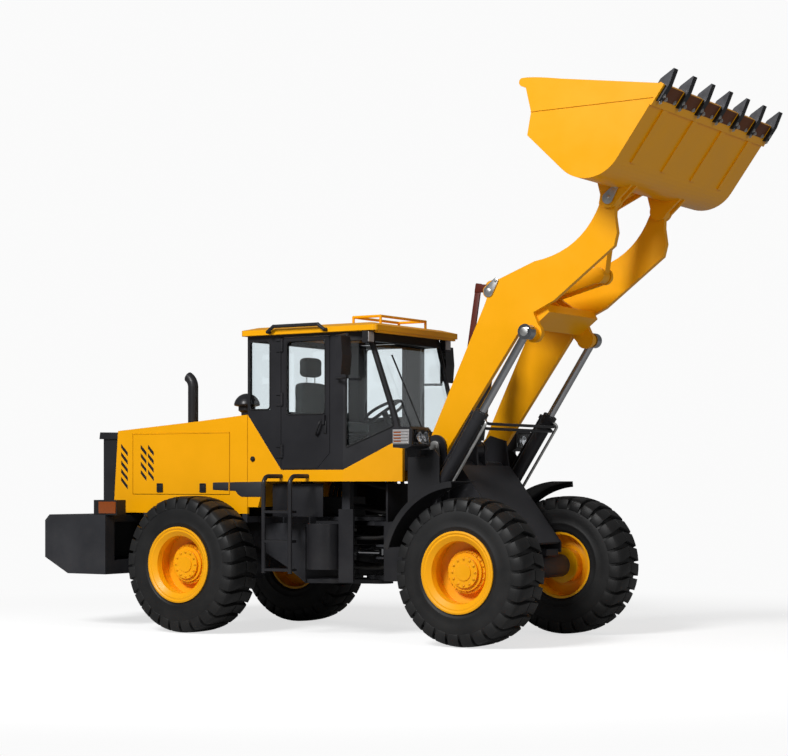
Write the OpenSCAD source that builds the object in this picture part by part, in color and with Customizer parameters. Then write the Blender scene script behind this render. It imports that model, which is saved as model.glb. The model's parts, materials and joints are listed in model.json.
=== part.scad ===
// Articulated wheel loader with a raised boom and a Z-bar bucket linkage.
// Origin on the ground under the articulation pin, +X forward, +Y left, +Z up, millimetres.

/* [Running gear] */
// Distance between the two axles
wheelbase = 3150; // [2900:10:3400]
// Clearance between the bodywork and the tyres
wheel_gap = 20; // [15:1:60]
// Tyre diameter over the lugs
tyre_d = 1330; // [1250:10:1380]
// Tyre width
tyre_w = 450; // [400:10:460]
// Number of lugs on each shoulder of a tyre
lugs = 28; // [20:1:28]
// Depth of the grooves between the lugs
lug_depth = 42; // [30:1:50]
// Diameter over the rim flanges
rim_d = 736; // [680:4:780]
// Diameter of the planetary hub
hub_d = 340; // [280:10:380]
// Diameter of the axle tubes
axle_tube_d = 220; // [180:10:240]

/* [Rear frame] */
// Thickness of the frame rails
rail_t = 30; // [20:1:35]
// Clear width between the rear rails
rail_gap = 700; // [640:10:715]
// Height of the top of the rear rails
deck_z = 1130; // [1100:5:1150]
// Radius of the articulation lugs
lug_r = 130; // [110:5:150]
// Diameter of the articulation pins
steer_pin_d = 90; // [70:2:110]
// Height of the counterweight's lower face
weight_z = 540; // [480:10:600]
// Width of the counterweight
weight_w = 2100; // [1900:10:2200]
// Wall of the counterweight casting
weight_wall = 140; // [100:10:200]
// Diameter of the tow pin hole
tow_pin_d = 52; // [40:1:60]

/* [Bodywork] */
// Width of the hood and the cab
body_w = 1390; // [1300:10:1400]
// Thickness of the hood panels
hood_t = 30; // [20:1:40]
// Height of the hood's lower edge
hood_z = 1155; // [1155:1:1180]
// Wall thickness of the cab
cab_t = 50; // [40:1:60]
// Thickness of the window panes
glass_t = 8; // [6:1:12]
// Height of the underside of the roof
roof_z = 2880; // [2800:10:2950]
// Thickness of the roof
roof_t = 85; // [60:5:110]
// Width of the roof
roof_w = 1510; // [1450:10:1560]
// Gap around doors and opening panels
panel_gap = 6; // [5:1:10]

/* [Boom and bucket] */
// Distance from the boom pivot to the bucket pin
boom_len = 2790; // [2700:10:2850]
// Angle of the raised boom above the horizontal
boom_raise = 50.4; // [45:0.1:52]
// Thickness of a boom arm
arm_t = 54; // [40:2:56]
// Distance between the middle planes of the arms
arm_spacing = 1000; // [980:10:1010]
// Diameter of the boom pivot pins
boom_pin_d = 90; // [70:2:100]
// Diameter of the bucket pins
bucket_pin_d = 76; // [60:2:84]
// Width of the bucket
bucket_w = 2400; // [2380:10:2500]
// Plate thickness of the bucket
bucket_t = 26; // [20:1:32]
// Angle of the bucket floor above the horizontal
bucket_tilt = 54; // [45:1:60]
// Number of teeth
teeth = 7; // [5:1:9]

/* [Cylinders] */
// Outer diameter of the lift barrels
lift_d = 130; // [110:2:130]
// Diameter of the lift rods
lift_rod_d = 72; // [56:2:80]
// Outer diameter of the tilt barrel
tilt_d = 150; // [120:2:160]
// Diameter of the tilt rod
tilt_rod_d = 80; // [60:2:90]
// Outer diameter of the steering barrels
steer_d = 84; // [70:2:90]
// Diameter of the steering rods
steer_rod_d = 44; // [36:2:50]
// Radial running clearance of rods and pins
run_gap = 0.4; // [0.3:0.1:0.6]

/* [Hidden] */
$fn = 64;

yellow = [0.93, 0.62, 0.05];
black = [0.07, 0.07, 0.08];
charcoal = [0.16, 0.16, 0.17];
rubber = [0.09, 0.09, 0.09];
steel = [0.75, 0.76, 0.78];
pane = [0.55, 0.68, 0.70, 0.5];
far = 4000;

// Main places in the side view
axle_f = wheelbase/2;
axle_r = -wheelbase/2;
axle_z = tyre_d/2;
half_body = body_w/2;
wheel_y = half_body + wheel_gap + tyre_w/2;
pivot_a = [980, 1790];
arm_y = arm_spacing/2;

function turned(p, a) = [p[0]*cos(a) - p[1]*sin(a), p[0]*sin(a) + p[1]*cos(a)];
function boom_at(p) = pivot_a + turned(p, boom_raise);
function angle_of(p, q) = atan2(q[1] - p[1], q[0] - p[0]);
function arc(c, r, a, b, n) = [for (i = [0:n]) c + r*[cos(a + (b - a)*i/n), sin(a + (b - a)*i/n)]];
function bend(p, q, r, n) =
  [for (i = [0:n]) let (t = i/n) (1 - t)*(1 - t)*p + 2*t*(1 - t)*q + t*t*r];

// Pins in the boom's own frame, with X from the boom pivot to the bucket pin
pin_b = [boom_len, 0];
lift_eye = [1422, -134];
crank_pin = [1560, 320];
crank_front = [2092, -112];
crank_rear = [1350, 690];

// Bucket frame: floor level, origin at the bucket pin
link_pin = [-125, 240];
heel_c = [415, 160];
heel_r = 345;
edge_x = 1131;
lip = [460, 915];
back_top = [134, 666];

// Cylinder pins and lengths
lift_base = [1000, 1290];
lift_y = 645;
tilt_base = [1070, 1770];
lift_tip = boom_at(lift_eye);
tilt_tip = boom_at(crank_rear);
lift_len = norm(lift_tip - lift_base);
tilt_len = norm(tilt_tip - tilt_base);
lift_ang = angle_of(lift_base, lift_tip);
tilt_ang = angle_of(tilt_base, tilt_tip);
steer_base = [-560, 300];
steer_tip = [255, 330];
steer_len = norm(steer_tip - steer_base);
steer_ang = angle_of(steer_base, steer_tip);

// A plate with its outline in the side view, from y0 to y1
module side_plate(y0, y1) translate([0, y1, 0]) rotate([90, 0, 0]) linear_extrude(y1 - y0) children();

// A round bar across the machine at p = [x, z], from y0 to y1
module cross_bar(p, y0, y1, d) translate([p[0], y0, p[1]]) rotate([-90, 0, 0]) cylinder(h = y1 - y0, d = d);

// A round tube from p to q, with a bead at q where the next one joins it
module tube(p, q, d, bead = 0) {
  translate(p) rotate([0, acos((q[2] - p[2])/norm(q - p)), atan2(q[1] - p[1], q[0] - p[0])])
    cylinder(h = norm(q - p), d = d);
  if (bead > 0) translate(q) sphere(d = d + bead);
}

module mirrored() {
  children();
  mirror([0, 1, 0]) children();
}

module on_side(s) {
  if (s > 0) children();
  else mirror([0, 1, 0]) children();
}

// A flat bar with round ends
module bar(p, r, q, s) {
  w = 0.9;
  n = turned([0, 1], angle_of(p, q));
  union() {
    translate(p) circle(r);
    translate(q) circle(s);
    polygon([p + w*r*n, q + w*s*n, q - w*s*n, p - w*r*n]);
  }
}

module in_boom() translate([pivot_a[0], 0, pivot_a[1]]) rotate([0, -boom_raise, 0]) children();

module in_bucket() in_boom() translate([boom_len, 0, 0])
  rotate([0, boom_raise - bucket_tilt, 0]) children();

// Rear half

lug_top = [1090, 1130];
lug_low = [480, 520];
lug_t = 40;
lug_gap = 6;
frame_end = -620;
beam_end = -60;
beam_h = 100;
rail_y = rail_gap/2;
rail_rear = -2600;
axle_seat_z = axle_z + axle_tube_d/2;

module rail_outline() polygon([
  [rail_rear, 760], [-2100, axle_seat_z + 85], [axle_r + 300, axle_seat_z + 85], [-820, 620],
  [frame_end, lug_low[0]], [frame_end, deck_z - beam_h], [beam_end, deck_z - beam_h],
  [beam_end, deck_z], [rail_rear, deck_z]
]);

module lug_plate(z, root) difference() {
  translate([0, 0, z]) linear_extrude(lug_t) union() {
    circle(lug_r);
    polygon([[root, -300], [0, -0.9*lug_r], [0, 0.9*lug_r], [root, 300]]);
  }
  translate([0, 0, z - 1]) cylinder(h = lug_t + 2, d = steer_pin_d + 2*run_gap);
}

module rear_frame() color(charcoal) {
  difference() {
    union() {
      mirrored() side_plate(rail_y, rail_y + rail_t) rail_outline();
      // Cross plates
      translate([frame_end - 30, -rail_y, lug_low[0]]) cube([30, rail_gap, deck_z - lug_low[0]]);
      translate([rail_rear, -rail_y, 800]) cube([40, rail_gap, 300]);
      // Articulation fork with its pins
      for (z = [lug_top[0], lug_low[0]]) translate([0, 0, z]) linear_extrude(lug_t) polygon([
        [frame_end, -rail_y], [0, -0.9*lug_r], [0, 0.9*lug_r], [frame_end, rail_y]
      ]);
      for (z = [lug_top[0], lug_low[0]]) translate([0, 0, z]) cylinder(h = lug_t, r = lug_r);
      translate([0, 0, lug_top[0] - lug_t - lug_gap - 15]) cylinder(h = lug_t + lug_gap + 20, d = steer_pin_d);
      translate([0, 0, lug_low[1] - 5]) cylinder(h = lug_t + lug_gap + 20, d = steer_pin_d);
      // Steering cylinder brackets with their pins
      mirrored() for (z = [steer_z - 80, steer_z + 60])
        translate([frame_end, steer_base[1] - 45, z]) cube([steer_base[0] - frame_end + 45, 95, 20]);
      mirrored() translate([steer_base[0], steer_base[1], steer_z - 70]) cylinder(h = 140, d = steer_eye_d);
    }
    translate([frame_end - 31, 0, shaft_z]) rotate([0, 90, 0]) cylinder(h = 32, d = shaft_d + 60);
  }
  // Axle pads
  mirrored() translate([axle_r - 150, 210, axle_seat_z]) cube([300, rail_y - 210, 85]);
  // Outriggers under the hood and the ladders, and the cab posts
  for (x = [-2400, -1150, ladder_x[0] - 10, ladder_x[1] - 10]) mirrored()
    translate([x, rail_y + rail_t, deck_z - 60]) cube([60, half_body - rail_y - rail_t, 60]);
  mirrored() for (x = [-2400, -1150])
    translate([x, half_body - hood_t, deck_z]) cube([60, hood_t, hood_z - deck_z]);
  mirrored() for (x = [-640, -160])
    translate([x, rail_y, deck_z]) cube([90, rail_t + 40, cab_z - deck_z]);
}

steer_z = 800;
steer_eye_d = 40;
weight_rear = -3410;
weight_top = 1135;
tow_z = 700;
tow_x = -3598;

module counterweight() color(charcoal) difference() {
  union() {
    side_plate(-weight_w/2, weight_w/2) polygon([
      [rail_rear, weight_z], [-3100, weight_z], [weight_rear, weight_z + 160],
      [weight_rear, weight_top - 60], [weight_rear + 60, weight_top], [rail_rear, weight_top]
    ]);
    // Tow clevis
    for (z = [tow_z, tow_z + 110]) translate([0, 0, z]) linear_extrude(40) {
      translate([tow_x, 0]) circle(70);
      translate([tow_x, -63]) square([weight_rear - tow_x + 40, 126]);
    }
  }
  translate([weight_rear + weight_wall, -weight_w/2 + weight_wall, weight_z + weight_wall])
    cube([far, weight_w - 2*weight_wall, weight_top - weight_z - weight_wall - 70]);
  translate([tow_x, 0, tow_z - 10]) cylinder(h = 200, d = tow_pin_d);
}

// Hood with side panels hinged along the top
hood_front = -1090;
hood_rear_top = [-2740, 1985];
hood_rear_low = [-2800, hood_z];
side_x = [-2540, -1310];
side_z = [1345, 1950];

module hood_outline() polygon([
  hood_rear_low, [hood_front, hood_z], [hood_front, 2120], [-1700, 2065], hood_rear_top
]);

// A column of slanted louvre slots
module slots(x0, z0, z1, w) for (z = [z0:84:z1]) translate([x0, z])
  polygon([[0, w], [0, w + 44], [w, 44], [w, 0]]);

module hood() color(yellow) difference() {
  side_plate(-half_body, half_body) hood_outline();
  side_plate(-half_body + hood_t, half_body - hood_t) polygon([
    [-2900, hood_z - 10], [hood_front + 10, hood_z - 10], [hood_front + 10, 2120 - hood_t],
    [-1700, 2065 - hood_t], [-2900, 1975 - hood_t]
  ]);
  mirrored() side_plate(half_body - hood_t - 1, half_body + 1)
    translate([side_x[0] - panel_gap, side_z[0] - panel_gap])
      square([side_x[1] - side_x[0] + 2*panel_gap, side_z[1] - side_z[0] + 2*panel_gap]);
  mirrored() side_plate(half_body - hood_t - 1, half_body + 1) slots(-2700, 1385, 1800, 90);
}

module hood_side(s) color(yellow) on_side(s) difference() {
  union() {
    side_plate(half_body - hood_t, half_body)
      translate([side_x[0], side_z[0]]) square([side_x[1] - side_x[0], side_z[1] - side_z[0]]);
    translate([side_x[0], half_body, side_z[1]]) rotate([0, 90, 0])
      cylinder(h = side_x[1] - side_x[0], r = panel_gap - run_gap);
  }
  side_plate(half_body - hood_t - 1, half_body + 1) {
    slots(-2440, 1470, 1780, 76);
    slots(-2345, 1470, 1780, 76);
  }
}

module hood_side_left() hood_side(1);
module hood_side_right() hood_side(-1);

valve_half = 190;

module engine() color(charcoal) {
  translate([-2480, -300, 960]) cube([980, 600, 860]);
  translate([axle_r + nose_rear, -270, 700]) cube([-880 - axle_r - nose_rear, 540, 490]);
  translate([-2560, -560, 1180]) cube([80, 1120, 640]);
  translate([-900, 0, shaft_z]) rotate([0, 90, 0]) cylinder(h = 810, d = shaft_d);
  // Torque converter housing, and the valve block with its spool caps on the fork
  translate([-890, 0, 930]) rotate([0, 90, 0]) cylinder(h = 190, d = 500);
  translate([-600, -valve_half, lug_top[1]]) cube([300, 2*valve_half, 190]);
  for (y = [-150:75:150]) translate([-301, y, lug_top[1] + 95]) rotate([0, 90, 0])
    cylinder(h = 90, d = 46, $fn = 24);
  for (x = [-2300, -1300]) mirrored() translate([x, 270, 1010]) cube([120, rail_y - 270, 60]);
}

function hood_edge(z) = hood_rear_low[0] - 2
  + (hood_rear_top[0] - hood_rear_low[0])*(z - hood_rear_low[1])/(hood_rear_top[1] - hood_rear_low[1]);

module rear_grille() color(black) {
  difference() {
    side_plate(-half_body + 30, half_body - 30) polygon([
      [-2960, weight_top], [hood_edge(weight_top), weight_top], [hood_edge(1905), 1905], [-2960, 1905]
    ]);
    translate([-far, -half_body + 110, weight_top + 90]) cube([2*far, body_w - 220, 1905 - weight_top - 170]);
  }
  for (i = [1:8]) translate([-2930, -half_body + 110, weight_top + 90 + i*62]) cube([30, body_w - 220, 18]);
  side_plate(-half_body + 10, half_body - 10)
    polygon([[-3000, 1905], [hood_edge(1905), 1905], [hood_edge(1970), 1970], [-2990, 1975]]);
}

module stacks() color(black) difference() {
  union() {
    // Exhaust with a bend to the rear
    translate([-2080, -half_body + 395, 1990]) cylinder(h = 440, d = stack_d);
    translate([-2080 - stack_bend, -half_body + 395, 2430]) rotate([90, 0, 0])
      rotate_extrude(angle = 62) translate([stack_bend, 0]) circle(d = stack_d);
    // Air pre-cleaner with a domed cap
    translate([-1280, -half_body + 245, 2060]) rotate_extrude() polygon(concat(
      [[0, 0], [56, 0], [56, 90], [84, 110], [84, 150], [122, 158], [128, 172]],
      arc([0, 150], 130, 12, 86, 8), [[0, 280]]
    ));
  }
  side_plate(-half_body, half_body) hood_outline();
}

stack_d = 105;
stack_bend = 120;

// Cab

cab_z = 1580;
cab_rear = -1085;
post_front = 40;
front_half = 530;
front_low = [600, 1880];
front_top = [290, 2880];
front_ang = angle_of(front_low, front_top) - 90;
corner_ang = atan2(half_body - front_half, front_low[0] - post_front);
door_x = [-680, -115];
door_z = [1590, 2850];
door_cut = 150;

module cab_plan(inset) {
  k = inset*tan(corner_ang/2);
  polygon([
    [cab_rear + inset, half_body - inset], [post_front - k, half_body - inset],
    [front_low[0] + 60, front_half - inset - 60*tan(corner_ang)],
    [front_low[0] + 60, -front_half + inset + 60*tan(corner_ang)],
    [post_front - k, -half_body + inset], [cab_rear + inset, -half_body + inset]
  ]);
}

module cab_side(inset) polygon([
  [cab_rear, 2120 + inset], [-680, cab_z + inset], [post_front, cab_z + inset],
  front_low + [-inset, inset], front_top + [-inset, 0] + [-20*tan(front_ang), 20]*(inset > 0 ? 1 : 0),
  [cab_rear, roof_z + (inset > 0 ? 20 : 0)]
]);

module cab_block(inset) intersection() {
  translate([0, 0, 1000]) linear_extrude(2500) cab_plan(inset);
  side_plate(-far, far) cab_side(inset);
}

module door_outline(gap) polygon([
  [door_x[0] - gap, door_z[0] - gap], [door_x[1] - door_cut, door_z[0] - gap],
  [door_x[1] + gap, door_z[0] + door_cut], [door_x[1] + gap, door_z[1] + gap],
  [door_x[0] - gap, door_z[1] + gap]
]);

window_z = [2165, 2825];
corner_post = 25;

module quarter_window() polygon([
  [cab_rear + corner_post, window_z[0]], [-815, window_z[0]], [-815, window_z[1]],
  [cab_rear + corner_post, window_z[1]]
]);

module corner_window() polygon([[30, 1790], [500, 1990], [460, 2160], [257, 2800], [30, 2800]]);

// Half width of the windscreen at a height along its slope
function screen_half(u) = front_half - corner_post + u*sin(front_ang)*tan(corner_ang);

module windscreen(t) rotate([90, 0, 90]) linear_extrude(t) polygon([
  [-screen_half(60), 60], [screen_half(60), 60], [screen_half(960), 960], [-screen_half(960), 960]
]);

module rear_window(t) translate([0, -half_body + 40, window_z[0]])
  cube([t, body_w - 80, window_z[1] - window_z[0]]);

module in_corner() translate([post_front, half_body, 0]) rotate([0, 0, -corner_ang]) children();

module in_front() translate([front_low[0], 0, front_low[1]]) rotate([0, -front_ang, 0]) children();

module cab() color(black) {
  cab_shell();
  cab_hinges();
}

module cab_shell() difference() {
  cab_block(0);
  cab_block(cab_t);
  mirrored() side_plate(half_body - cab_t - 5, half_body + 5) door_outline(panel_gap);
  mirrored() side_plate(half_body - cab_t - 5, half_body + 5) quarter_window();
  mirrored() in_corner() side_plate(-cab_t - 20, 20) corner_window();
  in_front() translate([-cab_t - 20, 0, 0]) windscreen(cab_t + 60);
  translate([cab_rear - 5, 0, 0]) rear_window(cab_t + 10);
}

module cab_glass() color(pane) {
  mirrored() side_plate(half_body - 30 - glass_t, half_body - 30) quarter_window();
  mirrored() in_corner() side_plate(-30 - glass_t, -30) corner_window();
  in_front() translate([-30 - glass_t, 0, 0]) windscreen(glass_t);
  translate([cab_rear + corner_post - glass_t/2, 0, 0]) rear_window(glass_t);
}

base_t = 40;
base_z = 1470;

module cab_base() color(yellow) difference() {
  intersection() {
    translate([0, 0, 1000]) linear_extrude(2000) cab_plan(0);
    side_plate(-far, far) polygon([
      [hood_front + 5, base_z - 250], [-960, base_z - 250], [-880, base_z], [front_low[0], base_z],
      front_low, [post_front, cab_z], [-680, cab_z], [cab_rear, 2120]
    ]);
  }
  translate([0, 0, 1000]) linear_extrude(2000) cab_plan(base_t);
}

roof_front = 445;
roof_edge = 50;
rack_x = [-40, 270];
rack_y = 400;
rack_z = roof_z + roof_t + 75;
rack_d = 26;
crown_in = 130;

// Outline of the roof's low crown between two edges
module crown(from, to) polygon([
  [from, roof_z], [to, roof_z], [to, roof_z + roof_edge], [to - crown_in, roof_z + roof_t],
  [from + crown_in, roof_z + roof_t], [from, roof_z + roof_edge]
]);

// Roof with its crown, a visor lip at its front and a tube rack
module roof() color(yellow) {
  intersection() {
    side_plate(-roof_w/2, roof_w/2) crown(cab_rear - 50, roof_front);
    translate([-far, 0, 0]) rotate([90, 0, 90]) linear_extrude(2*far) crown(-roof_w/2, roof_w/2);
    translate([0, 0, roof_z - 1]) linear_extrude(roof_t + 2) offset(r = 50) polygon([
      [cab_rear, roof_w/2 - 50], [roof_front - 50, roof_w/2 - 50],
      [roof_front - 50, -roof_w/2 + 50], [cab_rear, -roof_w/2 + 50]
    ]);
  }
  translate([roof_front - 40, -roof_w/2 + 60, roof_z - 22]) cube([30, roof_w - 120, 23]);
  for (x = rack_x) {
    mirrored() tube([x, rack_y, roof_z + roof_t - 5], [x, rack_y, rack_z], rack_d, 2);
    tube([x, -rack_y, rack_z], [x, rack_y, rack_z], rack_d);
  }
  mirrored() tube([rack_x[0], rack_y, rack_z], [rack_x[1], rack_y, rack_z], rack_d);
}

hinge_x = door_x[0] + 12;
hinge_z = [1720, 2220, 2740];
hinge_h = 80;
hinge_d = 28;
hinge_pin_d = 12;

module at_hinges(dz) for (z = hinge_z) translate([hinge_x, half_body + 8, z + dz]) children();

// Hinge leaves on the cab with the pins that run through the door's knuckles
module cab_hinges() mirrored() {
  at_hinges(-22) cylinder(h = hinge_h + 44, d = hinge_pin_d);
  for (dz = [-22, hinge_h + 1]) at_hinges(dz) {
    cylinder(h = 21, d = hinge_d);
    translate([-70, -5, 0]) cube([70, 10, 21]);
    translate([-70, -10, 0]) cube([45, 6, 21]);
  }
}

module door(s) color(black) on_side(s) {
  difference() {
    side_plate(half_body - cab_t, half_body) door_outline(0);
    side_plate(half_body - cab_t - 1, half_body + 1) door_window();
    for (dz = [-23, hinge_h]) at_hinges(dz) cylinder(h = 23, d = hinge_d + 2);
    at_hinges(-1) cylinder(h = hinge_h + 2, d = hinge_pin_d + 2*run_gap);
  }
  // Hinge knuckles and handle
  at_hinges(0) difference() {
    cylinder(h = hinge_h, d = hinge_d);
    translate([0, 0, -1]) cylinder(h = hinge_h + 2, d = hinge_pin_d + 2*run_gap);
  }
  translate([door_x[1] - 70, half_body, 2010]) cube([30, 30, 90]);
}

module door_window() polygon([[-620, 2110], [-165, 2110], [-165, 2815], [-620, 2815]]);

module door_left() door(1);
module door_right() door(-1);
module door_glass(s) color(pane) on_side(s) side_plate(half_body - 30 - glass_t, half_body - 30) door_window();
module door_glass_left() door_glass(1);
module door_glass_right() door_glass(-1);

floor_z = cab_z + cab_t;

module seat() color(black) {
  translate([-640, -140, floor_z]) cube([320, 280, 300]);
  translate([-760, -240, floor_z + 300]) cube([520, 480, 120]);
  translate([-880, -230, floor_z + 300]) cube([120, 460, 530]);
  translate([-875, -150, floor_z + 870]) cube([100, 300, 205]);
  for (y = [-70, 70]) translate([-825, y, floor_z + 830]) cylinder(h = 40, d = 16);
}

// Height of the cab's inner floor on the ramp under the windscreen
function ramp_z(x) = floor_z + 0.3
  + (x - post_front)*(front_low[1] - cab_z)/(front_low[0] - cab_t - post_front);

module steering_console() color(black) {
  side_plate(-110, 110) polygon([
    [60, ramp_z(60)], [240, ramp_z(240)], [220, floor_z + 390], [70, floor_z + 390]
  ]);
  translate([130, 0, floor_z + 370]) rotate([0, -30, 0]) {
    cylinder(h = 170, d = 60);
    translate([0, 0, 170]) rotate_extrude() translate([200, 0]) circle(15);
    translate([-200, -20, 160]) cube([400, 40, 20]);
  }
}

mirror_x = 165;
mirror_y = half_body + 170;
mirror_z = [2460, 2820];
mirror_arm_z = [mirror_z[0] - 20, mirror_z[1] + 20];
mirror_tube = 24;
grab_x = [-770, -110];
grab_d = 34;

// Mirrors on looped tubes from the door posts
module mirror_loop() {
  tip = [mirror_x + 20, mirror_y - 30];
  for (z = mirror_arm_z) {
    tube([0, half_body, z], [0, half_body + 45, z], mirror_tube, 2);
    tube([0, half_body + 45, z], concat(tip, z), mirror_tube, 2);
  }
  tube(concat(tip, mirror_arm_z[0]), concat(tip, mirror_arm_z[1]), mirror_tube);
}

// Grab rail along the side of the roof
module grab_rail() for (k = [0, 1]) {
  foot = [grab_x[k], roof_w/2, roof_z + 25];
  knee = foot + [0, 40, 0];
  top = knee + [(k > 0 ? -1 : 1)*70, 0, 50];
  tube(foot, knee, grab_d, 2);
  tube(knee, top, grab_d, 2);
  if (k == 0) tube(top, [grab_x[1] - 70, top[1], top[2]], grab_d);
}

module mirrors() color(black) mirrored() union() {
  mirror_loop();
  difference() {
    side_plate(mirror_y - 22, mirror_y + 135) polygon([
      [mirror_x, mirror_z[0] + 20], [mirror_x + 60, mirror_z[0]],
      [mirror_x + 75, (mirror_z[0] + mirror_z[1])/2], [mirror_x + 60, mirror_z[1]],
      [mirror_x, mirror_z[1] - 20]
    ]);
    translate([mirror_x - 20, mirror_y, mirror_z[0] + 35]) cube([30, 120, mirror_z[1] - mirror_z[0] - 70]);
  }
  grab_rail();
}

ladder_y = 980;
ladder_x = [-700, -390];

rail_d = 42;
ladder_top = 1440;

module ladders() color(black) mirrored() {
  for (x = ladder_x) {
    // Tube that bends over to the deck at its top
    translate([x + 20, ladder_y, 600]) cylinder(h = ladder_top - 600, d = rail_d);
    translate([x + 20, ladder_y - 80, ladder_top]) rotate([0, 0, 90]) rotate([90, 0, 0])
      rotate_extrude(angle = 90) translate([80, 0]) circle(d = rail_d);
    translate([x + 20, ladder_y - 80, ladder_top + 80]) rotate([90, 0, 0])
      cylinder(h = ladder_y - 80 - half_body, d = rail_d);
    translate([x, half_body, deck_z - 60]) cube([40, ladder_y - half_body, 60]);
  }
  for (z = [620, 890, 1170])
    translate([ladder_x[0] + 30, ladder_y - 120, z]) cube([ladder_x[1] - ladder_x[0] - 20, 136, 24]);
}

drum_y = 720;

module tanks() color(black) mirrored() {
  translate([-160, drum_y, 640]) cylinder(h = 431, d = 330);
  translate([-240, rail_y + rail_t, 1070]) cube([160, drum_y - rail_y - rail_t, 25]);
  translate([-240, drum_y - 20, 1070]) cube([300, 40, 25]);
  translate([20, drum_y, 520]) cube([165, 20, 690]);
}

work_lamp = [290, 635];

module lamps() color(black) {
  // Tail lamp boxes on the counterweight
  mirrored() translate([-2760, weight_w/2 - 150, weight_top]) cube([300, 140, 150]);
  // Work lamps under the front of the roof
  mirrored() translate([work_lamp[0], work_lamp[1], roof_z - 115]) cube([60, 110, 115]);
}

// Axles and wheels

nose_front = 195;
nose_rear = 245;

// Axle with its pinion nose towards the middle of the machine
module axle(x, nose) color(charcoal) {
  translate([x, 0, axle_z]) {
    sphere(d = 400);
    translate([0, 0, shaft_z - axle_z]) rotate([0, x > 0 ? -90 : 90, 0]) translate([0, 0, 40])
      cylinder(h = nose - 40, d = 120);
    rotate([90, 0, 0]) cylinder(h = 2*(wheel_y - 190), d = axle_tube_d, center = true);
    rotate([90, 0, 0]) cylinder(h = 2*(wheel_y - 60), d = 130, center = true);
  }
}

module rear_axle() axle(axle_r, nose_rear);
module front_axle() axle(axle_f, nose_front);

// Rings of points for the tyre: plain ones have one point to a lug, grooved ones have four
lug_steps = [0, 0.30, 0.38, 0.92];
lug_skew = 0.45;

function plain_ring(r, y) = [for (i = [0:lugs - 1]) [r*cos(i*360/lugs), r*sin(i*360/lugs), y]];

function grooved_ring(groove, crest, skew) = [
  for (i = [0:lugs - 1], k = [0:3])
    let (a = (i + lug_steps[k] + skew)*360/lugs, p = k < 2 ? groove : crest) [p[0]*cos(a), p[0]*sin(a), p[1]]
];

// Triangles between two rings of n points each, the first of which starts at index p and q
function band(p, q, n) = [
  for (i = [0:n - 1]) let (j = (i + 1) % n) each [[p + i, q + i, p + j], [p + j, q + i, q + j]]
];

// Triangles from a plain ring at p to a grooved ring at q, flipped where the grooved one comes first
function fan(p, q, flipped) = [
  for (i = [0:lugs - 1]) let (
    j = (i + 1) % lugs, g = q + 4*i, h = q + 4*j,
    t = [
      [p + i, g, g + 1], [p + i, g + 1, g + 2], [p + i, g + 2, p + j], [p + j, g + 2, g + 3], [p + j, g + 3, h]
    ]
  ) each [for (f = t) flipped ? [f[0], f[2], f[1]] : f]
];

module tyre(x, s) {
  r = tyre_d/2;
  w = tyre_w/2;
  bead = (rim_d/2 - 48)/cos(180/lugs);
  side = [[bead, w - 40], [bead + 60, w - 14], [r - 165, w]];
  foot = [r - 118, w - 6];
  groove = [r - lug_depth, w - 46];
  crest = [r - 6, w - 30];
  flat = [for (k = [-1, 1]) [for (p = side) [p[0], k*p[1]]]];
  points = concat(
    plain_ring(flat[0][0][0], flat[0][0][1]), plain_ring(flat[0][1][0], flat[0][1][1]),
    plain_ring(flat[0][2][0], flat[0][2][1]), grooved_ring([foot[0], -foot[1]], [foot[0], -foot[1]], 0),
    grooved_ring([groove[0], -groove[1]], [crest[0], -crest[1]], 0),
    grooved_ring([r - lug_depth/3, 0], [r, 0], lug_skew),
    grooved_ring(groove, crest, 0), grooved_ring(foot, foot, 0),
    plain_ring(flat[1][2][0], flat[1][2][1]), plain_ring(flat[1][1][0], flat[1][1][1]),
    plain_ring(flat[1][0][0], flat[1][0][1])
  );
  n = lugs;
  faces = concat(
    band(0, n, n), band(n, 2*n, n), fan(2*n, 3*n, false), band(3*n, 7*n, 4*n), band(7*n, 11*n, 4*n),
    band(11*n, 15*n, 4*n), band(15*n, 19*n, 4*n), fan(23*n, 19*n, true), band(23*n, 24*n, n),
    band(24*n, 25*n, n), band(25*n, 0, n)
  );
  color(rubber) translate([x, s*wheel_y, axle_z]) rotate([90, 0, 0])
    rotate([0, 0, -90 - (lug_steps[2] + lug_skew)*360/lugs]) polyhedron(points, faces);
}

module rim(x, s) color(yellow) translate([x, s*wheel_y, axle_z]) rotate([s > 0 ? -90 : 90, 0, 0]) difference() {
  w = tyre_w/2;
  bead = rim_d/2 - 48;
  union() {
    rotate_extrude() {
      // Barrel with a seat for the tyre, a lock ring and a rolled flange
      polygon([
        [bead - 22, -w + 42], [bead - 0.3, -w + 42], [bead - 0.3, w - 39], [bead + 20, w - 29.5],
        [rim_d/2, w - 10], [rim_d/2, w + 4], [rim_d/2 - 16, w + 8], [rim_d/2 - 30, w - 2],
        [rim_d/2 - 44, w], [bead - 40, w - 30], [bead - 50, w - 90], [bead - 22, w - 130]
      ]);
      // Dished disc
      polygon([
        [hub_d/2 - 20, -44], [hub_d/2 + 30, -44], [bead - 10, -20], [bead - 10, 4], [hub_d/2 + 30, -20],
        [hub_d/2 - 20, -20]
      ]);
    }
    translate([0, 0, -150]) cylinder(h = 230, d = hub_d);
    translate([0, 0, 20]) cylinder(h = 36, d = hub_d + 44);
    translate([0, 0, 80]) cylinder(h = 26, d = hub_d - 60);
    translate([0, 0, 106]) cylinder(h = 8, d = hub_d - 190);
  }
  translate([0, 0, -151]) cylinder(h = 221, d = 130 + 2*run_gap);
}

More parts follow.
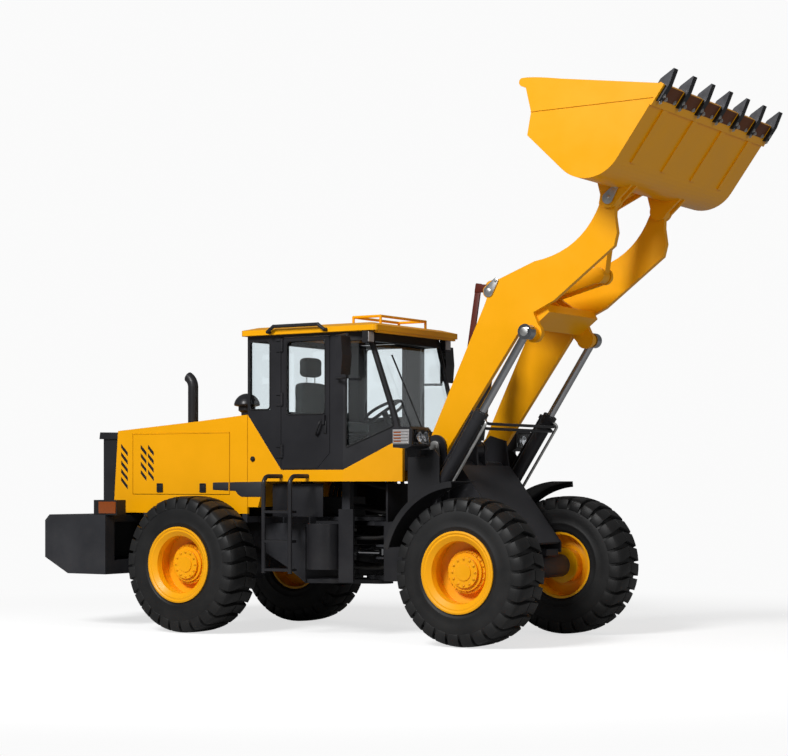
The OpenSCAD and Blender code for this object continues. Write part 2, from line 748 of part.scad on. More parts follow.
module tyre_rear_left() tyre(axle_r, 1);
module tyre_rear_right() tyre(axle_r, -1);
module tyre_front_left() tyre(axle_f, 1);
module tyre_front_right() tyre(axle_f, -1);
module rim_rear_left() rim(axle_r, 1);
module rim_rear_right() rim(axle_r, -1);
module rim_front_left() rim(axle_f, 1);
module rim_front_right() rim(axle_f, -1);

// Front half

shaft_z = 790;
shaft_d = 90;
belly_z = 890;
inner_y = [440, 465];
outer_y = [535, 560];
front_end = 350;
nose_x = 1745;
nose_back = [-560, 720];
nose_low = 900;
nose_t = 28;

module front_outline() polygon([
  [front_end, 530], [1100, 530], [1250, axle_seat_z + 30], [nose_x, axle_seat_z + 30], [nose_x, nose_low],
  [nose_x, nose_low] + nose_back, [1150, 1860], [pivot_a[0], 1910],
  [pivot_a[0] - 120, 1800], [pivot_a[0] - 120, 1150],
  [front_end, 1080]
]);

module front_frame() color(charcoal) {
  y = inner_y[0];
  // Rear plate, belly, nose and bulkhead between the tower plates
  difference() {
    translate([front_end, -y, 530]) cube([30, 2*y, 550]);
    translate([front_end - 1, 0, shaft_z]) rotate([0, 90, 0]) cylinder(h = 32, d = shaft_d + 60);
  }
  translate([1300, -y, belly_z]) cube([nose_x - 50 - 1300, 2*y, 30]);
  nose_in = nose_t*turned([0, 1], angle_of([0, 0], nose_back));
  side_plate(-y, y) polygon([
    [nose_x, nose_low], [nose_x, nose_low] + nose_back,
    [nose_x, nose_low] + nose_back + nose_in, [nose_x, nose_low] + nose_in
  ]);
  // Cross tube that carries the tilt cylinder
  cross_bar([tilt_base[0], 1600], -y, y, 120);
  difference() {
    mirrored() side_plate(62, 92) bar(tilt_base, 80, [tilt_base[0], 1600], 90);
    cross_bar([tilt_base[0], 1600], -y, y, 119);
  }
  cross_bar(tilt_base, -92, 92, 70);
  // Articulation lugs between the fork plates
  for (z = [lug_top[0] - lug_gap - lug_t, lug_low[1] + lug_gap]) lug_plate(z, front_end);
  // Axle pads and steering rod brackets
  mirrored() translate([axle_f - 150, 210, axle_seat_z]) cube([300, inner_y[0] - 210, 60]);
  mirrored() for (z = [steer_z - 68, steer_z + 48])
    translate([steer_tip[0] - 50, steer_tip[1] - 50, z]) cube([front_end - steer_tip[0] + 50, 100, 20]);
}

module tower(s) color(black) on_side(s) {
  side_plate(inner_y[0], inner_y[1]) front_outline();
  side_plate(outer_y[0], outer_y[1]) union() {
    translate(pivot_a) circle(110);
    polygon([
      pivot_a + [-145, -20], pivot_a + [-100, 45], pivot_a + [100, 45], [1120, 1500], [1120, 1180], [835, 1180]
    ]);
  }
  translate([835, inner_y[1], 1180]) cube([22, outer_y[0] - inner_y[1], 480]);
  translate([835, inner_y[1], 1180]) cube([285, outer_y[0] - inner_y[1], 25]);
  cross_bar(pivot_a, inner_y[1], outer_y[0], boom_pin_d);
  cross_bar(pivot_a, outer_y[1], outer_y[1] + 12, boom_pin_d + 20);
  cross_bar(lift_base, outer_y[1], lift_y + 60, 70);
}

module tower_left() tower(1);
module tower_right() tower(-1);

module drive_shaft() color(black) {
  translate([90, 0, shaft_z]) rotate([0, 90, 0]) cylinder(h = axle_f - 90 - nose_front, d = shaft_d);
}

fender_r = tyre_d/2 + 135;
fender_y = [half_body + 40, wheel_y + tyre_w/2 - 15];

module fender_sector() translate([axle_f, axle_z])
  polygon(concat([[0, 0]], [for (a = [95, 130, 165]) 1.5*fender_r*[cos(a), sin(a)]]));

module front_fenders() color(black) mirrored() {
  intersection() {
    difference() {
      cross_bar([axle_f, axle_z], fender_y[0], fender_y[1], 2*fender_r + 20);
      cross_bar([axle_f, axle_z], fender_y[0] - 1, fender_y[1] + 1, 2*fender_r);
    }
    side_plate(fender_y[0], fender_y[1]) fender_sector();
  }
  // Flange along the outer edge
  intersection() {
    difference() {
      cross_bar([axle_f, axle_z], fender_y[1] - 12, fender_y[1], 2*fender_r + 4);
      cross_bar([axle_f, axle_z], fender_y[1] - 13, fender_y[1] + 1, 2*fender_r - 90);
    }
    side_plate(fender_y[1] - 12, fender_y[1]) fender_sector();
  }
  side_plate(fender_y[0] - 15, fender_y[0]) polygon([
    [790, 1250], [960, 1180], [1130, 1420], [1130, 1700], [1080, 1760], [790, 1760]
  ]);
  translate([845, outer_y[1], 1300]) cube([50, fender_y[0] - 15 - outer_y[1], 90]);
}

lamp_y = [fender_y[0] + 55, fender_y[1] - 40];

module headlamps() color(black) mirrored() {
  difference() {
    side_plate(lamp_y[0], lamp_y[1]) polygon([
      [870, 1775], [1010, 1765], [1070, 1790], [1078, 1930], [1050, 1962], [940, 1962], [880, 1925]
    ]);
    translate([1052, lamp_y[0] + 18, 1800]) cube([100, lamp_y[1] - lamp_y[0] - 36, 142]);
  }
  side_plate(lamp_y[0] + 60, lamp_y[0] + 120) polygon([[900, 1702], [1000, 1702], [1000, 1768], [880, 1780]]);
  translate([900, fender_y[0], 1690]) cube([100, lamp_y[0] + 121 - fender_y[0], 14]);
}

// Boom

// Outline of an arm. Its nose leaves room for the heel of the dumped bucket.
module arm_outline() {
  tip = [boom_len - 90, 60];
  polygon(concat(
    [[0, -105], [-20, 100], [1323, 433]], arc([1433, 472], 62, 200, 60, 8),
    bend([1921, 266], [boom_len - 516, -65], tip, 10),
    [[boom_len, 60], [boom_len, -60], [boom_len - 90, -130], [boom_len - 190, -240]],
    [[boom_len - 297, -290], [1772, -117], [1524, 2]]
  ));
  circle(115);
  translate([boom_len, 0]) circle(82);
}

module boom_arm(s) color(yellow) on_side(s) in_boom() {
  y0 = arm_y - arm_t/2;
  y1 = arm_y + arm_t/2;
  difference() {
    side_plate(y0, y1) {
      arm_outline();
      bar(lift_eye, 85, lift_eye + [60, 200], 120);
    }
    cross_bar([0, 0], y0 - 1, y1 + 1, boom_pin_d + 2*run_gap);
    cross_bar(pin_b, y0 - 1, y1 + 1, bucket_pin_d + 2*run_gap);
  }
  cross_bar(lift_eye, y1, lift_y - 50, 120);
}

module boom_arm_left() boom_arm(1);
module boom_arm_right() boom_arm(-1);

module boom_cross() color(yellow) in_boom() {
  y = arm_y - arm_t/2;
  difference() {
    union() {
      side_plate(-y, y) polygon([[1420, -70], [1650, -120], [1680, -40], [1480, 100]]);
      mirrored() side_plate(106, 136) {
        translate(crank_pin) circle(85);
        polygon([crank_pin + [-78, -20], crank_pin + [78, -10], [1670, -30], [1500, 40]]);
      }
      cross_bar(crank_pin, -106, 106, 90);
    }
  }
}

module bellcrank() color(yellow) in_boom() difference() {
  union() {
    mirrored() side_plate(60, 95) {
      bar(crank_rear, 75, crank_pin, 115);
      bar(crank_pin, 115, crank_front, 75);
    }
    cross_bar(crank_pin, -60, 60, 170);
  }
  cross_bar(crank_pin, -96, 96, 90 + 2*run_gap);
}

module tilt_link() color(yellow) in_boom() {
  g = pin_b + turned(link_pin, bucket_tilt - boom_raise);
  difference() {
    union() {
      side_plate(-45, 45) bar(crank_front, 65, g, 70);
      cross_bar(crank_front, -48, 48, 132);
      cross_bar(g, -48, 48, 142);
    }
    cross_bar(g, -49, 49, 70 + 2*run_gap);
  }
}

// Bucket, drawn with its floor level about the bucket pin

edge_t = 18;
edge_w = 200;
wear_t = 14;
guard = [back_top + [190, 90], lip, lip + [-14, 46]];

// Side plate with a wavy top edge up to the spill guard
module bucket_side() polygon(concat(
  [[edge_x, heel_c[1] - heel_r]], arc(heel_c, heel_r, 270, 172, 14), [back_top, guard[0], guard[1], guard[2]],
  arc(lip + [24, 52], 38, 188, 60, 6), bend(lip + [46, 82], lip + [110, 4], lip + [230, -250], 8)
));

// Band along the top edge that is thicker than the rest of the side
module bucket_side_edge() intersection() {
  bucket_side();
  polygon([
    [edge_x + 5, heel_c[1] - heel_r - 5], [edge_x - 130, heel_c[1] - heel_r - 5], guard[0] + [-20, 10],
    guard[2] + [-30, 60], lip + [200, 300], [edge_x + 200, 400]
  ]);
}

module bucket_skin() polygon(concat(
  [[edge_x, heel_c[1] - heel_r]], arc(heel_c, heel_r, 270, 172, 14), [back_top, guard[0], guard[1], guard[2]],
  [guard[2] + [bucket_t, -4], guard[1] + [bucket_t, -8]],
  [guard[0] + [8, -bucket_t], back_top + [bucket_t - 2, -16]],
  arc(heel_c, heel_r - bucket_t, 172, 270, 14), [[edge_x, heel_c[1] - heel_r + bucket_t]]
));

module bucket() color(yellow) in_bucket() {
  w = bucket_w/2;
  ear_in = arm_t/2 + 6;
  difference() {
    union() {
      side_plate(-w + 8, w - 8) bucket_skin();
      mirrored() side_plate(w - bucket_t, w - 8) bucket_side();
      mirrored() side_plate(w - 9, w) bucket_side_edge();
      // Cutting edge and wear strips under the floor
      translate([edge_x - edge_w, -w, heel_c[1] - heel_r - edge_t]) cube([edge_w, bucket_w, edge_t + 1]);
      for (k = [-3, -1, 1, 3]) translate([heel_c[0], k*bucket_w/8 - 45, heel_c[1] - heel_r - wear_t])
        cube([edge_x - edge_w - heel_c[0] + 1, 90, wear_t + 1]);
      // Ears on both sides of each arm
      mirrored() for (y = [arm_y - ear_in - 30, arm_y + ear_in]) side_plate(y, y + 30) difference() {
        union() {
          circle(84);
          polygon([[-80, -20], [20, -80], [200, -120], [260, -110], [90, 120], [75, 200], [-40, 60]]);
        }
        translate(heel_c) circle(heel_r - 8);
      }
      // Link lugs
      mirrored() side_plate(56, 86) difference() {
        union() {
          translate(link_pin) circle(70);
          polygon([link_pin + [-20, -62], [100, 40], [110, 440], link_pin + [-20, 66]]);
        }
        translate(heel_c) circle(heel_r - 8);
      }
    }
    mirrored() cross_bar([0, 0], arm_y - 200, arm_y + 200, bucket_pin_d);
  }
  mirrored() cross_bar([0, 0], arm_y - ear_in - 30, arm_y + ear_in + 40, bucket_pin_d);
  cross_bar(link_pin, -86, 86, 70);
}

// Teeth on adapters that clasp the cutting edge
module tooth_outline() {
  z = heel_c[1] - heel_r;
  polygon([
    [edge_x - 150, z - edge_t], [edge_x - 140, z - edge_t - 26], [edge_x + 10, z - edge_t - 26],
    [edge_x + 150, z - edge_t + 6], [edge_x + 150, z - edge_t + 16], [edge_x + 20, z + bucket_t + 26],
    [edge_x - 60, z + bucket_t + 26], [edge_x - 80, z + bucket_t], [edge_x, z + bucket_t], [edge_x, z - edge_t]
  ]);
}

module bucket_teeth() color(charcoal) in_bucket()
  for (i = [0:teeth - 1]) translate([0, (bucket_w - 130)*(i/(teeth - 1) - 0.5), 0])
    side_plate(-35, 35) tooth_outline();

// Cylinders

module in_lift(s) on_side(s) translate([lift_base[0], lift_y, lift_base[1]])
  rotate([0, -lift_ang, 0]) children();

lift_gland = 965;

module lift_barrel(s) color(black) in_lift(s) difference() {
  union() {
    cross_bar([0, 0], -40, 40, 150);
    rotate([0, 90, 0]) cylinder(h = 100, d = 76);
    translate([90, 0, 0]) rotate([0, 90, 0]) cylinder(h = lift_gland - 90, d = lift_d);
    translate([lift_gland - 70, 0, 0]) rotate([0, 90, 0]) cylinder(h = 70, d = lift_d + 6);
    // Oil pipe along the outer side
    translate([150, 0, lift_d/2 + 16]) rotate([0, 90, 0]) cylinder(h = lift_gland - 190, d = 24);
    for (x = [150, lift_gland - 80]) translate([x, -16, lift_d/2 - 12]) cube([40, 32, 44]);
  }
  cross_bar([0, 0], -41, 41, 70 + 2*run_gap);
  translate([130, 0, 0]) rotate([0, 90, 0]) cylinder(h = far, d = lift_rod_d + 2*run_gap);
}

module lift_rod(s) color(steel) in_lift(s) {
  translate([lift_gland - 200, 0, 0]) rotate([0, 90, 0])
    cylinder(h = lift_len - lift_gland + 200, d = lift_rod_d);
  cross_bar([lift_len, 0], -42, 42, 140);
  cross_bar([lift_len, 0], 42, 54, 90);
}

module lift_barrel_left() lift_barrel(1);
module lift_barrel_right() lift_barrel(-1);
module lift_rod_left() lift_rod(1);
module lift_rod_right() lift_rod(-1);

module in_tilt() translate([tilt_base[0], 0, tilt_base[1]]) rotate([0, -tilt_ang, 0]) children();

tilt_gland = 960;

module tilt_barrel() color(black) in_tilt() difference() {
  union() {
    cross_bar([0, 0], -54, 54, 150);
    rotate([0, 90, 0]) cylinder(h = 100, d = 104);
    translate([95, 0, 0]) rotate([0, 90, 0]) cylinder(h = tilt_gland - 95, d = tilt_d);
    translate([tilt_gland - 60, 0, 0]) rotate([0, 90, 0]) cylinder(h = 60, d = tilt_d + 12);
  }
  cross_bar([0, 0], -55, 55, 70 + 2*run_gap);
  translate([130, 0, 0]) rotate([0, 90, 0]) cylinder(h = far, d = tilt_rod_d + 2*run_gap);
}

module tilt_rod() color(steel) in_tilt() {
  translate([tilt_gland - 420, 0, 0]) rotate([0, 90, 0])
    cylinder(h = tilt_len - tilt_gland + 420, d = tilt_rod_d);
  cross_bar([tilt_len, 0], -50, 50, 140);
}

module in_steer(s) on_side(s) translate([steer_base[0], steer_base[1], steer_z])
  rotate([0, 0, steer_ang]) children();

steer_gland = 520;
steer_rod_len = 540;

module steer_barrel(s) color(black) in_steer(s) difference() {
  union() {
    translate([0, 0, -30]) cylinder(h = 60, d = 84);
    translate([20, 0, 0]) rotate([0, 90, 0]) cylinder(h = steer_gland - 20, d = steer_d);
  }
  translate([0, 0, -60]) cylinder(h = 120, d = steer_eye_d + 2*run_gap);
  translate([60, 0, 0]) rotate([0, 90, 0]) cylinder(h = far, d = steer_rod_d + 2*run_gap);
}

module steer_rod(s) color(steel) in_steer(s) {
  translate([steer_len - steer_rod_len, 0, 0]) rotate([0, 90, 0]) cylinder(h = steer_rod_len, d = steer_rod_d);
  translate([steer_len, 0, -30]) cylinder(h = 60, d = 80);
}

module steer_barrel_left() steer_barrel(1);
module steer_barrel_right() steer_barrel(-1);
module steer_rod_left() steer_rod(1);
module steer_rod_right() steer_rod(-1);

rear_frame();
counterweight();
hood();
hood_side_left();
hood_side_right();
engine();
rear_grille();
stacks();
cab();
cab_base();
roof();
cab_glass();
door_left();
door_right();
door_glass_left();
door_glass_right();
seat();
steering_console();
mirrors();
ladders();
tanks();
lamps();
rear_axle();
tyre_rear_left();
tyre_rear_right();
tyre_front_left();
tyre_front_right();
rim_rear_left();
rim_rear_right();
rim_front_left();
rim_front_right();
front_frame();
tower_left();
tower_right();
front_axle();
drive_shaft();
front_fenders();
headlamps();
boom_arm_left();
boom_arm_right();
boom_cross();
bucket();
bucket_teeth();
bellcrank();
tilt_link();
tilt_barrel();
tilt_rod();
lift_barrel_left();
lift_barrel_right();
lift_rod_left();
lift_rod_right();
steer_barrel_left();
steer_barrel_right();
steer_rod_left();
steer_rod_right();
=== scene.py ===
# Articulated wheel loader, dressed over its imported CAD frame.
import json
import math

import bpy
from mathutils import Vector, Matrix

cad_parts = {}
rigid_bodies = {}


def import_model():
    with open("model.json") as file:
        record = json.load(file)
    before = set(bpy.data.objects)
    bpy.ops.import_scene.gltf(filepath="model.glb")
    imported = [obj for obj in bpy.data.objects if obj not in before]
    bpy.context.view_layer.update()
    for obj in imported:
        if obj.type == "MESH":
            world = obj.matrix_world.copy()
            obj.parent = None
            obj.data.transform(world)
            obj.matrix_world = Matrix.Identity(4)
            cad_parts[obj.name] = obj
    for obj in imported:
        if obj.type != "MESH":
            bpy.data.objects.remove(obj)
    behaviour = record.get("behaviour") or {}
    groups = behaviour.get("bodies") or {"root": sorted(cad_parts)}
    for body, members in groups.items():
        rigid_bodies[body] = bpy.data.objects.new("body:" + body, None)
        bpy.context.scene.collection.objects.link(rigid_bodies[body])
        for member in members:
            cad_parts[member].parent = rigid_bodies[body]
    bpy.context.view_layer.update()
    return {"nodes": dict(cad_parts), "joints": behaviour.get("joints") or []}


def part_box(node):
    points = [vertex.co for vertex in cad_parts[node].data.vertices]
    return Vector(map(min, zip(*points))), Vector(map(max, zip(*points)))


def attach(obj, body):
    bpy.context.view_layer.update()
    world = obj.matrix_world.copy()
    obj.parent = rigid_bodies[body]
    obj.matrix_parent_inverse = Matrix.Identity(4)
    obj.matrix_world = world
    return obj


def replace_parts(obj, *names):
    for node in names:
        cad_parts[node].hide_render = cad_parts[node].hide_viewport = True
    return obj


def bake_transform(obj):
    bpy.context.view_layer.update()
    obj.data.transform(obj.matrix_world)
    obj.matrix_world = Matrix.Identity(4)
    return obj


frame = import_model()
nodes = frame["nodes"]
print("frame loaded:", len(nodes), "nodes")

sideSigns = {"left": 1, "right": -1}


# Shared node groups

noiseSpan = (0.3, 0.7)


def feed(tree, node, values):
    for key, value in values.items():
        if isinstance(value, bpy.types.NodeSocket):
            tree.links.new(value, node.inputs[key])
        else:
            node.inputs[key].default_value = value


def addNode(tree, kind, values=None, **settings):
    node = tree.nodes.new("ShaderNode" + kind)
    for key, value in settings.items():
        setattr(node, key, value)
    feed(tree, node, values or {})
    return node


def objectPoint(tree):
    return addNode(tree, "TexCoord").outputs["Object"]


def noiseOf(tree, scale, detail, roughness=0.5):
    values = {"Vector": objectPoint(tree), "Scale": scale, "Detail": detail, "Roughness": roughness}
    return addNode(tree, "TexNoise", values).outputs[0]


def ranged(tree, value, fromMin, fromMax, toMin=0.0, toMax=1.0, **settings):
    values = {"Value": value, "From Min": fromMin, "From Max": fromMax, "To Min": toMin, "To Max": toMax}
    return addNode(tree, "MapRange", values, **settings).outputs[0]


def combined(tree, operation, first, second):
    return addNode(tree, "Math", {0: first, 1: second}, operation=operation).outputs[0]


def mixColor(tree, mask, below, above):
    return addNode(tree, "Mix", {0: mask, 6: below, 7: above}, data_type="RGBA").outputs[2]


def makeGroup(name, inputs, outputs):
    tree = bpy.data.node_groups.new(name, "ShaderNodeTree")
    for label, kind, value in inputs:
        socket = tree.interface.new_socket(name=label, in_out="INPUT", socket_type="NodeSocket" + kind)
        socket.default_value = value
    for label, kind in outputs:
        tree.interface.new_socket(name=label, in_out="OUTPUT", socket_type="NodeSocket" + kind)
    return tree, tree.nodes.new("NodeGroupInput").outputs, tree.nodes.new("NodeGroupOutput")


def makeDustGroup():
    tree, given, out = makeGroup("lowDust", [("Top", "Float", 1.4), ("Amount", "Float", 0.4)],
                                 [("Mask", "Float")])
    height = addNode(tree, "SeparateXYZ", {0: objectPoint(tree)}).outputs["Z"]
    fade = ranged(tree, height, 0.0, given["Top"], 1.0, 0.0)
    patch = ranged(tree, noiseOf(tree, 5.0, 7.0, 0.65), 0.35, 0.75)
    both = combined(tree, "MULTIPLY", fade, patch)
    feed(tree, out, {"Mask": combined(tree, "MULTIPLY", both, given["Amount"])})
    return tree


def makeEdgeGroup():
    tree, given, out = makeGroup("edgeRub", [("Radius", "Float", 0.004), ("Amount", "Float", 0.5)],
                                 [("Mask", "Float"), ("Normal", "Vector")])
    soft = addNode(tree, "Bevel", {"Radius": given["Radius"]}, samples=4).outputs[0]
    flat = addNode(tree, "NewGeometry").outputs["Normal"]
    facing = addNode(tree, "VectorMath", {0: soft, 1: flat}, operation="DOT_PRODUCT").outputs["Value"]
    turned = ranged(tree, facing, 0.98, 0.75)
    broken = ranged(tree, noiseOf(tree, 38.0, 5.0), 0.45, 0.62)
    both = combined(tree, "MULTIPLY", turned, broken)
    feed(tree, out, {"Mask": combined(tree, "MULTIPLY", both, given["Amount"]), "Normal": soft})
    return tree


def makeMottleGroup():
    tree, given, out = makeGroup(
        "mottle",
        [("Color", "Color", (0.5, 0.5, 0.5, 1)), ("Spread", "Float", 0.08), ("Scale", "Float", 2.5)],
        [("Color", "Color"), ("Value", "Float")])
    noise = noiseOf(tree, given["Scale"], 4.0, 0.55)
    low = combined(tree, "SUBTRACT", 1.0, given["Spread"])
    high = combined(tree, "ADD", 1.0, given["Spread"])
    level = ranged(tree, noise, *noiseSpan, low, high)
    shade = addNode(tree, "VectorMath", {0: given["Color"], "Scale": level}, operation="SCALE").outputs[0]
    feed(tree, out, {"Color": shade, "Value": noise})
    return tree


dustGroup = makeDustGroup()
edgeGroup = makeEdgeGroup()
mottleGroup = makeMottleGroup()


# Finishes

finishSettings = {
    "yellowPaint": {"color": (0.960, 0.420, 0.0004), "spread": 0.03, "rough": (0.28, 0.40), "coat": 0.04,
                    "grain": (260.0, 0.012), "dust": 0.03, "rub": 0.15, "rubColor": (0.92, 0.50, 0.03)},
    "rimPaint": {"color": (0.960, 0.420, 0.0004), "spread": 0.05, "rough": (0.32, 0.46), "coat": 0.04,
                 "grain": (220.0, 0.02), "dust": 0.06, "rub": 0.15, "rubColor": (0.88, 0.46, 0.04)},
    "blackPaint": {"color": (0.019, 0.019, 0.022), "spread": 0.15, "rough": (0.32, 0.46), "coat": 0.1,
                   "grain": (300.0, 0.02), "dust": 0.03, "rub": 0.30, "rubColor": (0.07, 0.07, 0.075)},
    "charcoalPaint": {"color": (0.030, 0.031, 0.036), "spread": 0.16, "rough": (0.38, 0.55), "coat": 0.05,
                      "grain": (180.0, 0.04), "dust": 0.06, "rub": 0.35, "rubColor": (0.08, 0.08, 0.085)},
    "tyreRubber": {"color": (0.0130, 0.0132, 0.0138), "spread": 0.22, "rough": (0.42, 0.62), "coat": 0.0,
                   "grain": (420.0, 0.06), "dust": 0.02, "rub": 0.20, "rubColor": (0.040, 0.039, 0.038)},
    "mouldedPlastic": {"color": (0.016, 0.016, 0.018), "spread": 0.12, "rough": (0.40, 0.52), "coat": 0.0,
                       "grain": (620.0, 0.08), "dust": 0.10, "rub": 0.15, "rubColor": (0.07, 0.07, 0.07)},
    "hoseRubber": {"color": (0.012, 0.012, 0.013), "spread": 0.15, "rough": (0.48, 0.62), "coat": 0.0,
                   "grain": (500.0, 0.05), "dust": 0.12, "rub": 0.0, "rubColor": (0.05, 0.05, 0.05)},
    "brownSteel": {"color": (0.120, 0.034, 0.008), "spread": 0.14, "rough": (0.42, 0.58), "coat": 0.0,
                   "grain": (200.0, 0.04), "dust": 0.0, "rub": 0.30, "rubColor": (0.20, 0.10, 0.05)},
    "redPrimer": {"color": (0.105, 0.016, 0.008), "spread": 0.10, "rough": (0.40, 0.55), "coat": 0.0,
                  "grain": (240.0, 0.03), "dust": 0.0, "rub": 0.20, "rubColor": (0.16, 0.05, 0.03)},
    "seatFabric": {"color": (0.085, 0.095, 0.095), "spread": 0.18, "rough": (0.80, 0.95), "coat": 0.0,
                   "grain": (900.0, 0.25), "dust": 0.0, "rub": 0.0, "rubColor": (0.05, 0.05, 0.05)},
}
dustColor = (0.30, 0.25, 0.18, 1)

# Kind, color, rough and grain of the finishes with no dust and no rubbed edges
plainSettings = {
    "rodChrome": ("metal", (0.42, 0.43, 0.45), (0.10, 0.18), (3.0, 0.004)),
    "zincSteel": ("metal", (0.58, 0.58, 0.57), (0.28, 0.42), (90.0, 0.02)),
    "toothSteel": ("metal", (0.050, 0.051, 0.055), (0.42, 0.60), (60.0, 0.08)),
    "windowGlass": ("glass", (0.88, 0.93, 0.95), (0.0, 0.02), None),
    "lampGlass": ("glass", (0.96, 0.97, 0.98), (0.02, 0.08), None),
    "amberLens": ("lens", (0.26, 0.055, 0.004), (0.12, 0.22), (120.0, 0.2)),
    "redLens": ("lens", (0.55, 0.012, 0.010), (0.12, 0.22), (120.0, 0.2)),
    "clearLens": ("lens", (0.36, 0.35, 0.35), (0.06, 0.14), (120.0, 0.2)),
}
kindSettings = {
    "metal": {"spread": 0.06, "scale": 20.0, "others": {"Metallic": 1.0}},
    "glass": {"spread": 0.02, "scale": 2.5, "others": {"Transmission Weight": 1.0, "IOR": 1.45}},
    "lens": {"spread": 0.10, "scale": 60.0, "others": {"Coat Weight": 0.8}},
}


def startMaterial(name):
    material = bpy.data.materials.new(name)
    material.use_nodes = True
    tree = material.node_tree
    tree.nodes.clear()
    shader = addNode(tree, "BsdfPrincipled")
    addNode(tree, "OutputMaterial", {0: shader.outputs[0]})
    return material, tree, shader


def placeGroup(tree, group, values):
    return addNode(tree, "Group", values, node_tree=group).outputs


def grainBump(tree, grain, normal=None):
    values = {"Height": noiseOf(tree, grain[0], 3.0), "Strength": grain[1], "Distance": 0.002}
    if normal:
        values["Normal"] = normal
    return addNode(tree, "Bump", values).outputs[0]


def makeFinish(name, look):
    material, tree, shader = startMaterial(name)
    mottle = placeGroup(tree, mottleGroup, {"Color": (*look["color"], 1), "Spread": look["spread"]})
    dust = placeGroup(tree, dustGroup, {"Amount": look["dust"]})
    edge = placeGroup(tree, edgeGroup, {"Amount": look["rub"]})
    color = mixColor(tree, edge["Mask"], mottle["Color"], (*look["rubColor"], 1))
    feed(tree, shader, {"Base Color": mixColor(tree, dust["Mask"], color, dustColor),
                        "Roughness": ranged(tree, mottle["Value"], *noiseSpan, *look["rough"]),
                        "Normal": grainBump(tree, look["grain"], edge["Normal"]),
                        "Specular IOR Level": 0.28, "Coat Weight": look["coat"], "Coat Roughness": 0.12})
    return material


def makePlain(name, kind, color, rough, grain):
    material, tree, shader = startMaterial(name)
    look = kindSettings[kind]
    mottle = placeGroup(tree, mottleGroup,
                        {"Color": (*color, 1), "Spread": look["spread"], "Scale": look["scale"]})
    feed(tree, shader, {"Base Color": mottle["Color"],
                        "Roughness": ranged(tree, mottle["Value"], *noiseSpan, *rough), **look["others"]})
    if grain:
        feed(tree, shader, {"Normal": grainBump(tree, grain)})
    return material


finishes = {name: makeFinish(name, look) for name, look in finishSettings.items()}
finishes.update({name: makePlain(name, *look) for name, look in plainSettings.items()})
print("finishes made:", len(finishes))

nodeFinishes = {
    "yellowPaint": ("hood", "cab_base", "roof", "boom", "bucket", "bellcrank", "tilt_link"),
    "rimPaint": ("rim",),
    "tyreRubber": ("tyre",),
    "charcoalPaint": ("rear_frame", "counterweight", "front_frame", "rear_axle", "front_axle", "engine",
                      "drive_shaft"),
    "windowGlass": ("cab_glass", "door_glass"),
    "rodChrome": ("lift_rod", "tilt_rod", "steer_rod"),
    "toothSteel": ("bucket_teeth",),
    "mouldedPlastic": ("lamps", "headlamps", "steering_console", "front_fenders"),
    "seatFabric": ("seat",),
}


def finishOf(node):
    best = ""
    chosen = "blackPaint"
    for finish, starts in nodeFinishes.items():
        for start in starts:
            if node.startswith(start) and len(start) > len(best):
                best = start
                chosen = finish
    return finishes[chosen]


for name, piece in nodes.items():
    piece.data.materials.clear()
    piece.data.materials.append(finishOf(name))
print("finishes on the CAD nodes")


# Stage, light and camera

stageSettings = {"floorSize": 160.0, "floorColor": (0.52, 0.52, 0.52, 1),
                 "backColor": (0.96, 0.96, 0.96, 1), "floorGlow": 0.68, "glowFar": 0.25, "fade": (4.0, 8.5),
                 "worldStrength": 0.15, "keyEnergy": 3500.0, "keySize": 6.0, "keyPlace": (0.0, -17.0, 13.0),
                 "keyAim": (0.0, 0.0, 1.5), "fillEnergy": 330.0, "fillSize": 8.0,
                 "fillPlace": (16.0, -6.0, 5.0), "fillAim": (1.0, 0.0, 2.0)}
cameraSettings = {"place": (10.52, -15.95, 1.46), "heading": 33.0, "lens": 89.73, "shift": 0.1326}


def clearSelection():
    if bpy.context.object and bpy.context.object.mode != "OBJECT":
        bpy.ops.object.mode_set(mode="OBJECT")
    bpy.ops.object.select_all(action="DESELECT")


def makeFloor():
    clearSelection()
    bpy.ops.mesh.primitive_plane_add(size=stageSettings["floorSize"], location=(0, 0, 0))
    floor = bpy.context.object
    floor.name = "floor"
    material, tree, shader = startMaterial("paleFloor")
    mottle = placeGroup(tree, mottleGroup, {"Color": stageSettings["floorColor"], "Spread": 0.01})
    away = addNode(tree, "VectorMath", {0: objectPoint(tree)}, operation="LENGTH").outputs["Value"]
    fade = ranged(tree, away, *stageSettings["fade"], interpolation_type="SMOOTHSTEP")
    seen = addNode(tree, "LightPath").outputs["Is Camera Ray"]
    glow = {0: [stageSettings["floorGlow"]] * 3, "Scale": seen}
    near = addNode(tree, "VectorMath", glow, operation="SCALE").outputs[0]
    feed(tree, shader, {"Base Color": mixColor(tree, fade, mottle["Color"], (0, 0, 0, 1)),
                        "Emission Color": mixColor(tree, fade, near, stageSettings["backColor"]),
                        "Emission Strength": ranged(tree, seen, 0.0, 1.0, stageSettings["glowFar"], 1.0),
                        "Specular IOR Level": 0.0, "Roughness": 0.85})
    floor.data.materials.append(material)


def aimedLight(name):
    place = Vector(stageSettings[name + "Place"])
    bpy.ops.object.light_add(type="AREA", location=place)
    light = bpy.context.object
    light.name = name + "Light"
    light.data.energy = stageSettings[name + "Energy"]
    light.data.size = stageSettings[name + "Size"]
    light.rotation_euler = (Vector(stageSettings[name + "Aim"]) - place).to_track_quat("-Z", "Y").to_euler()


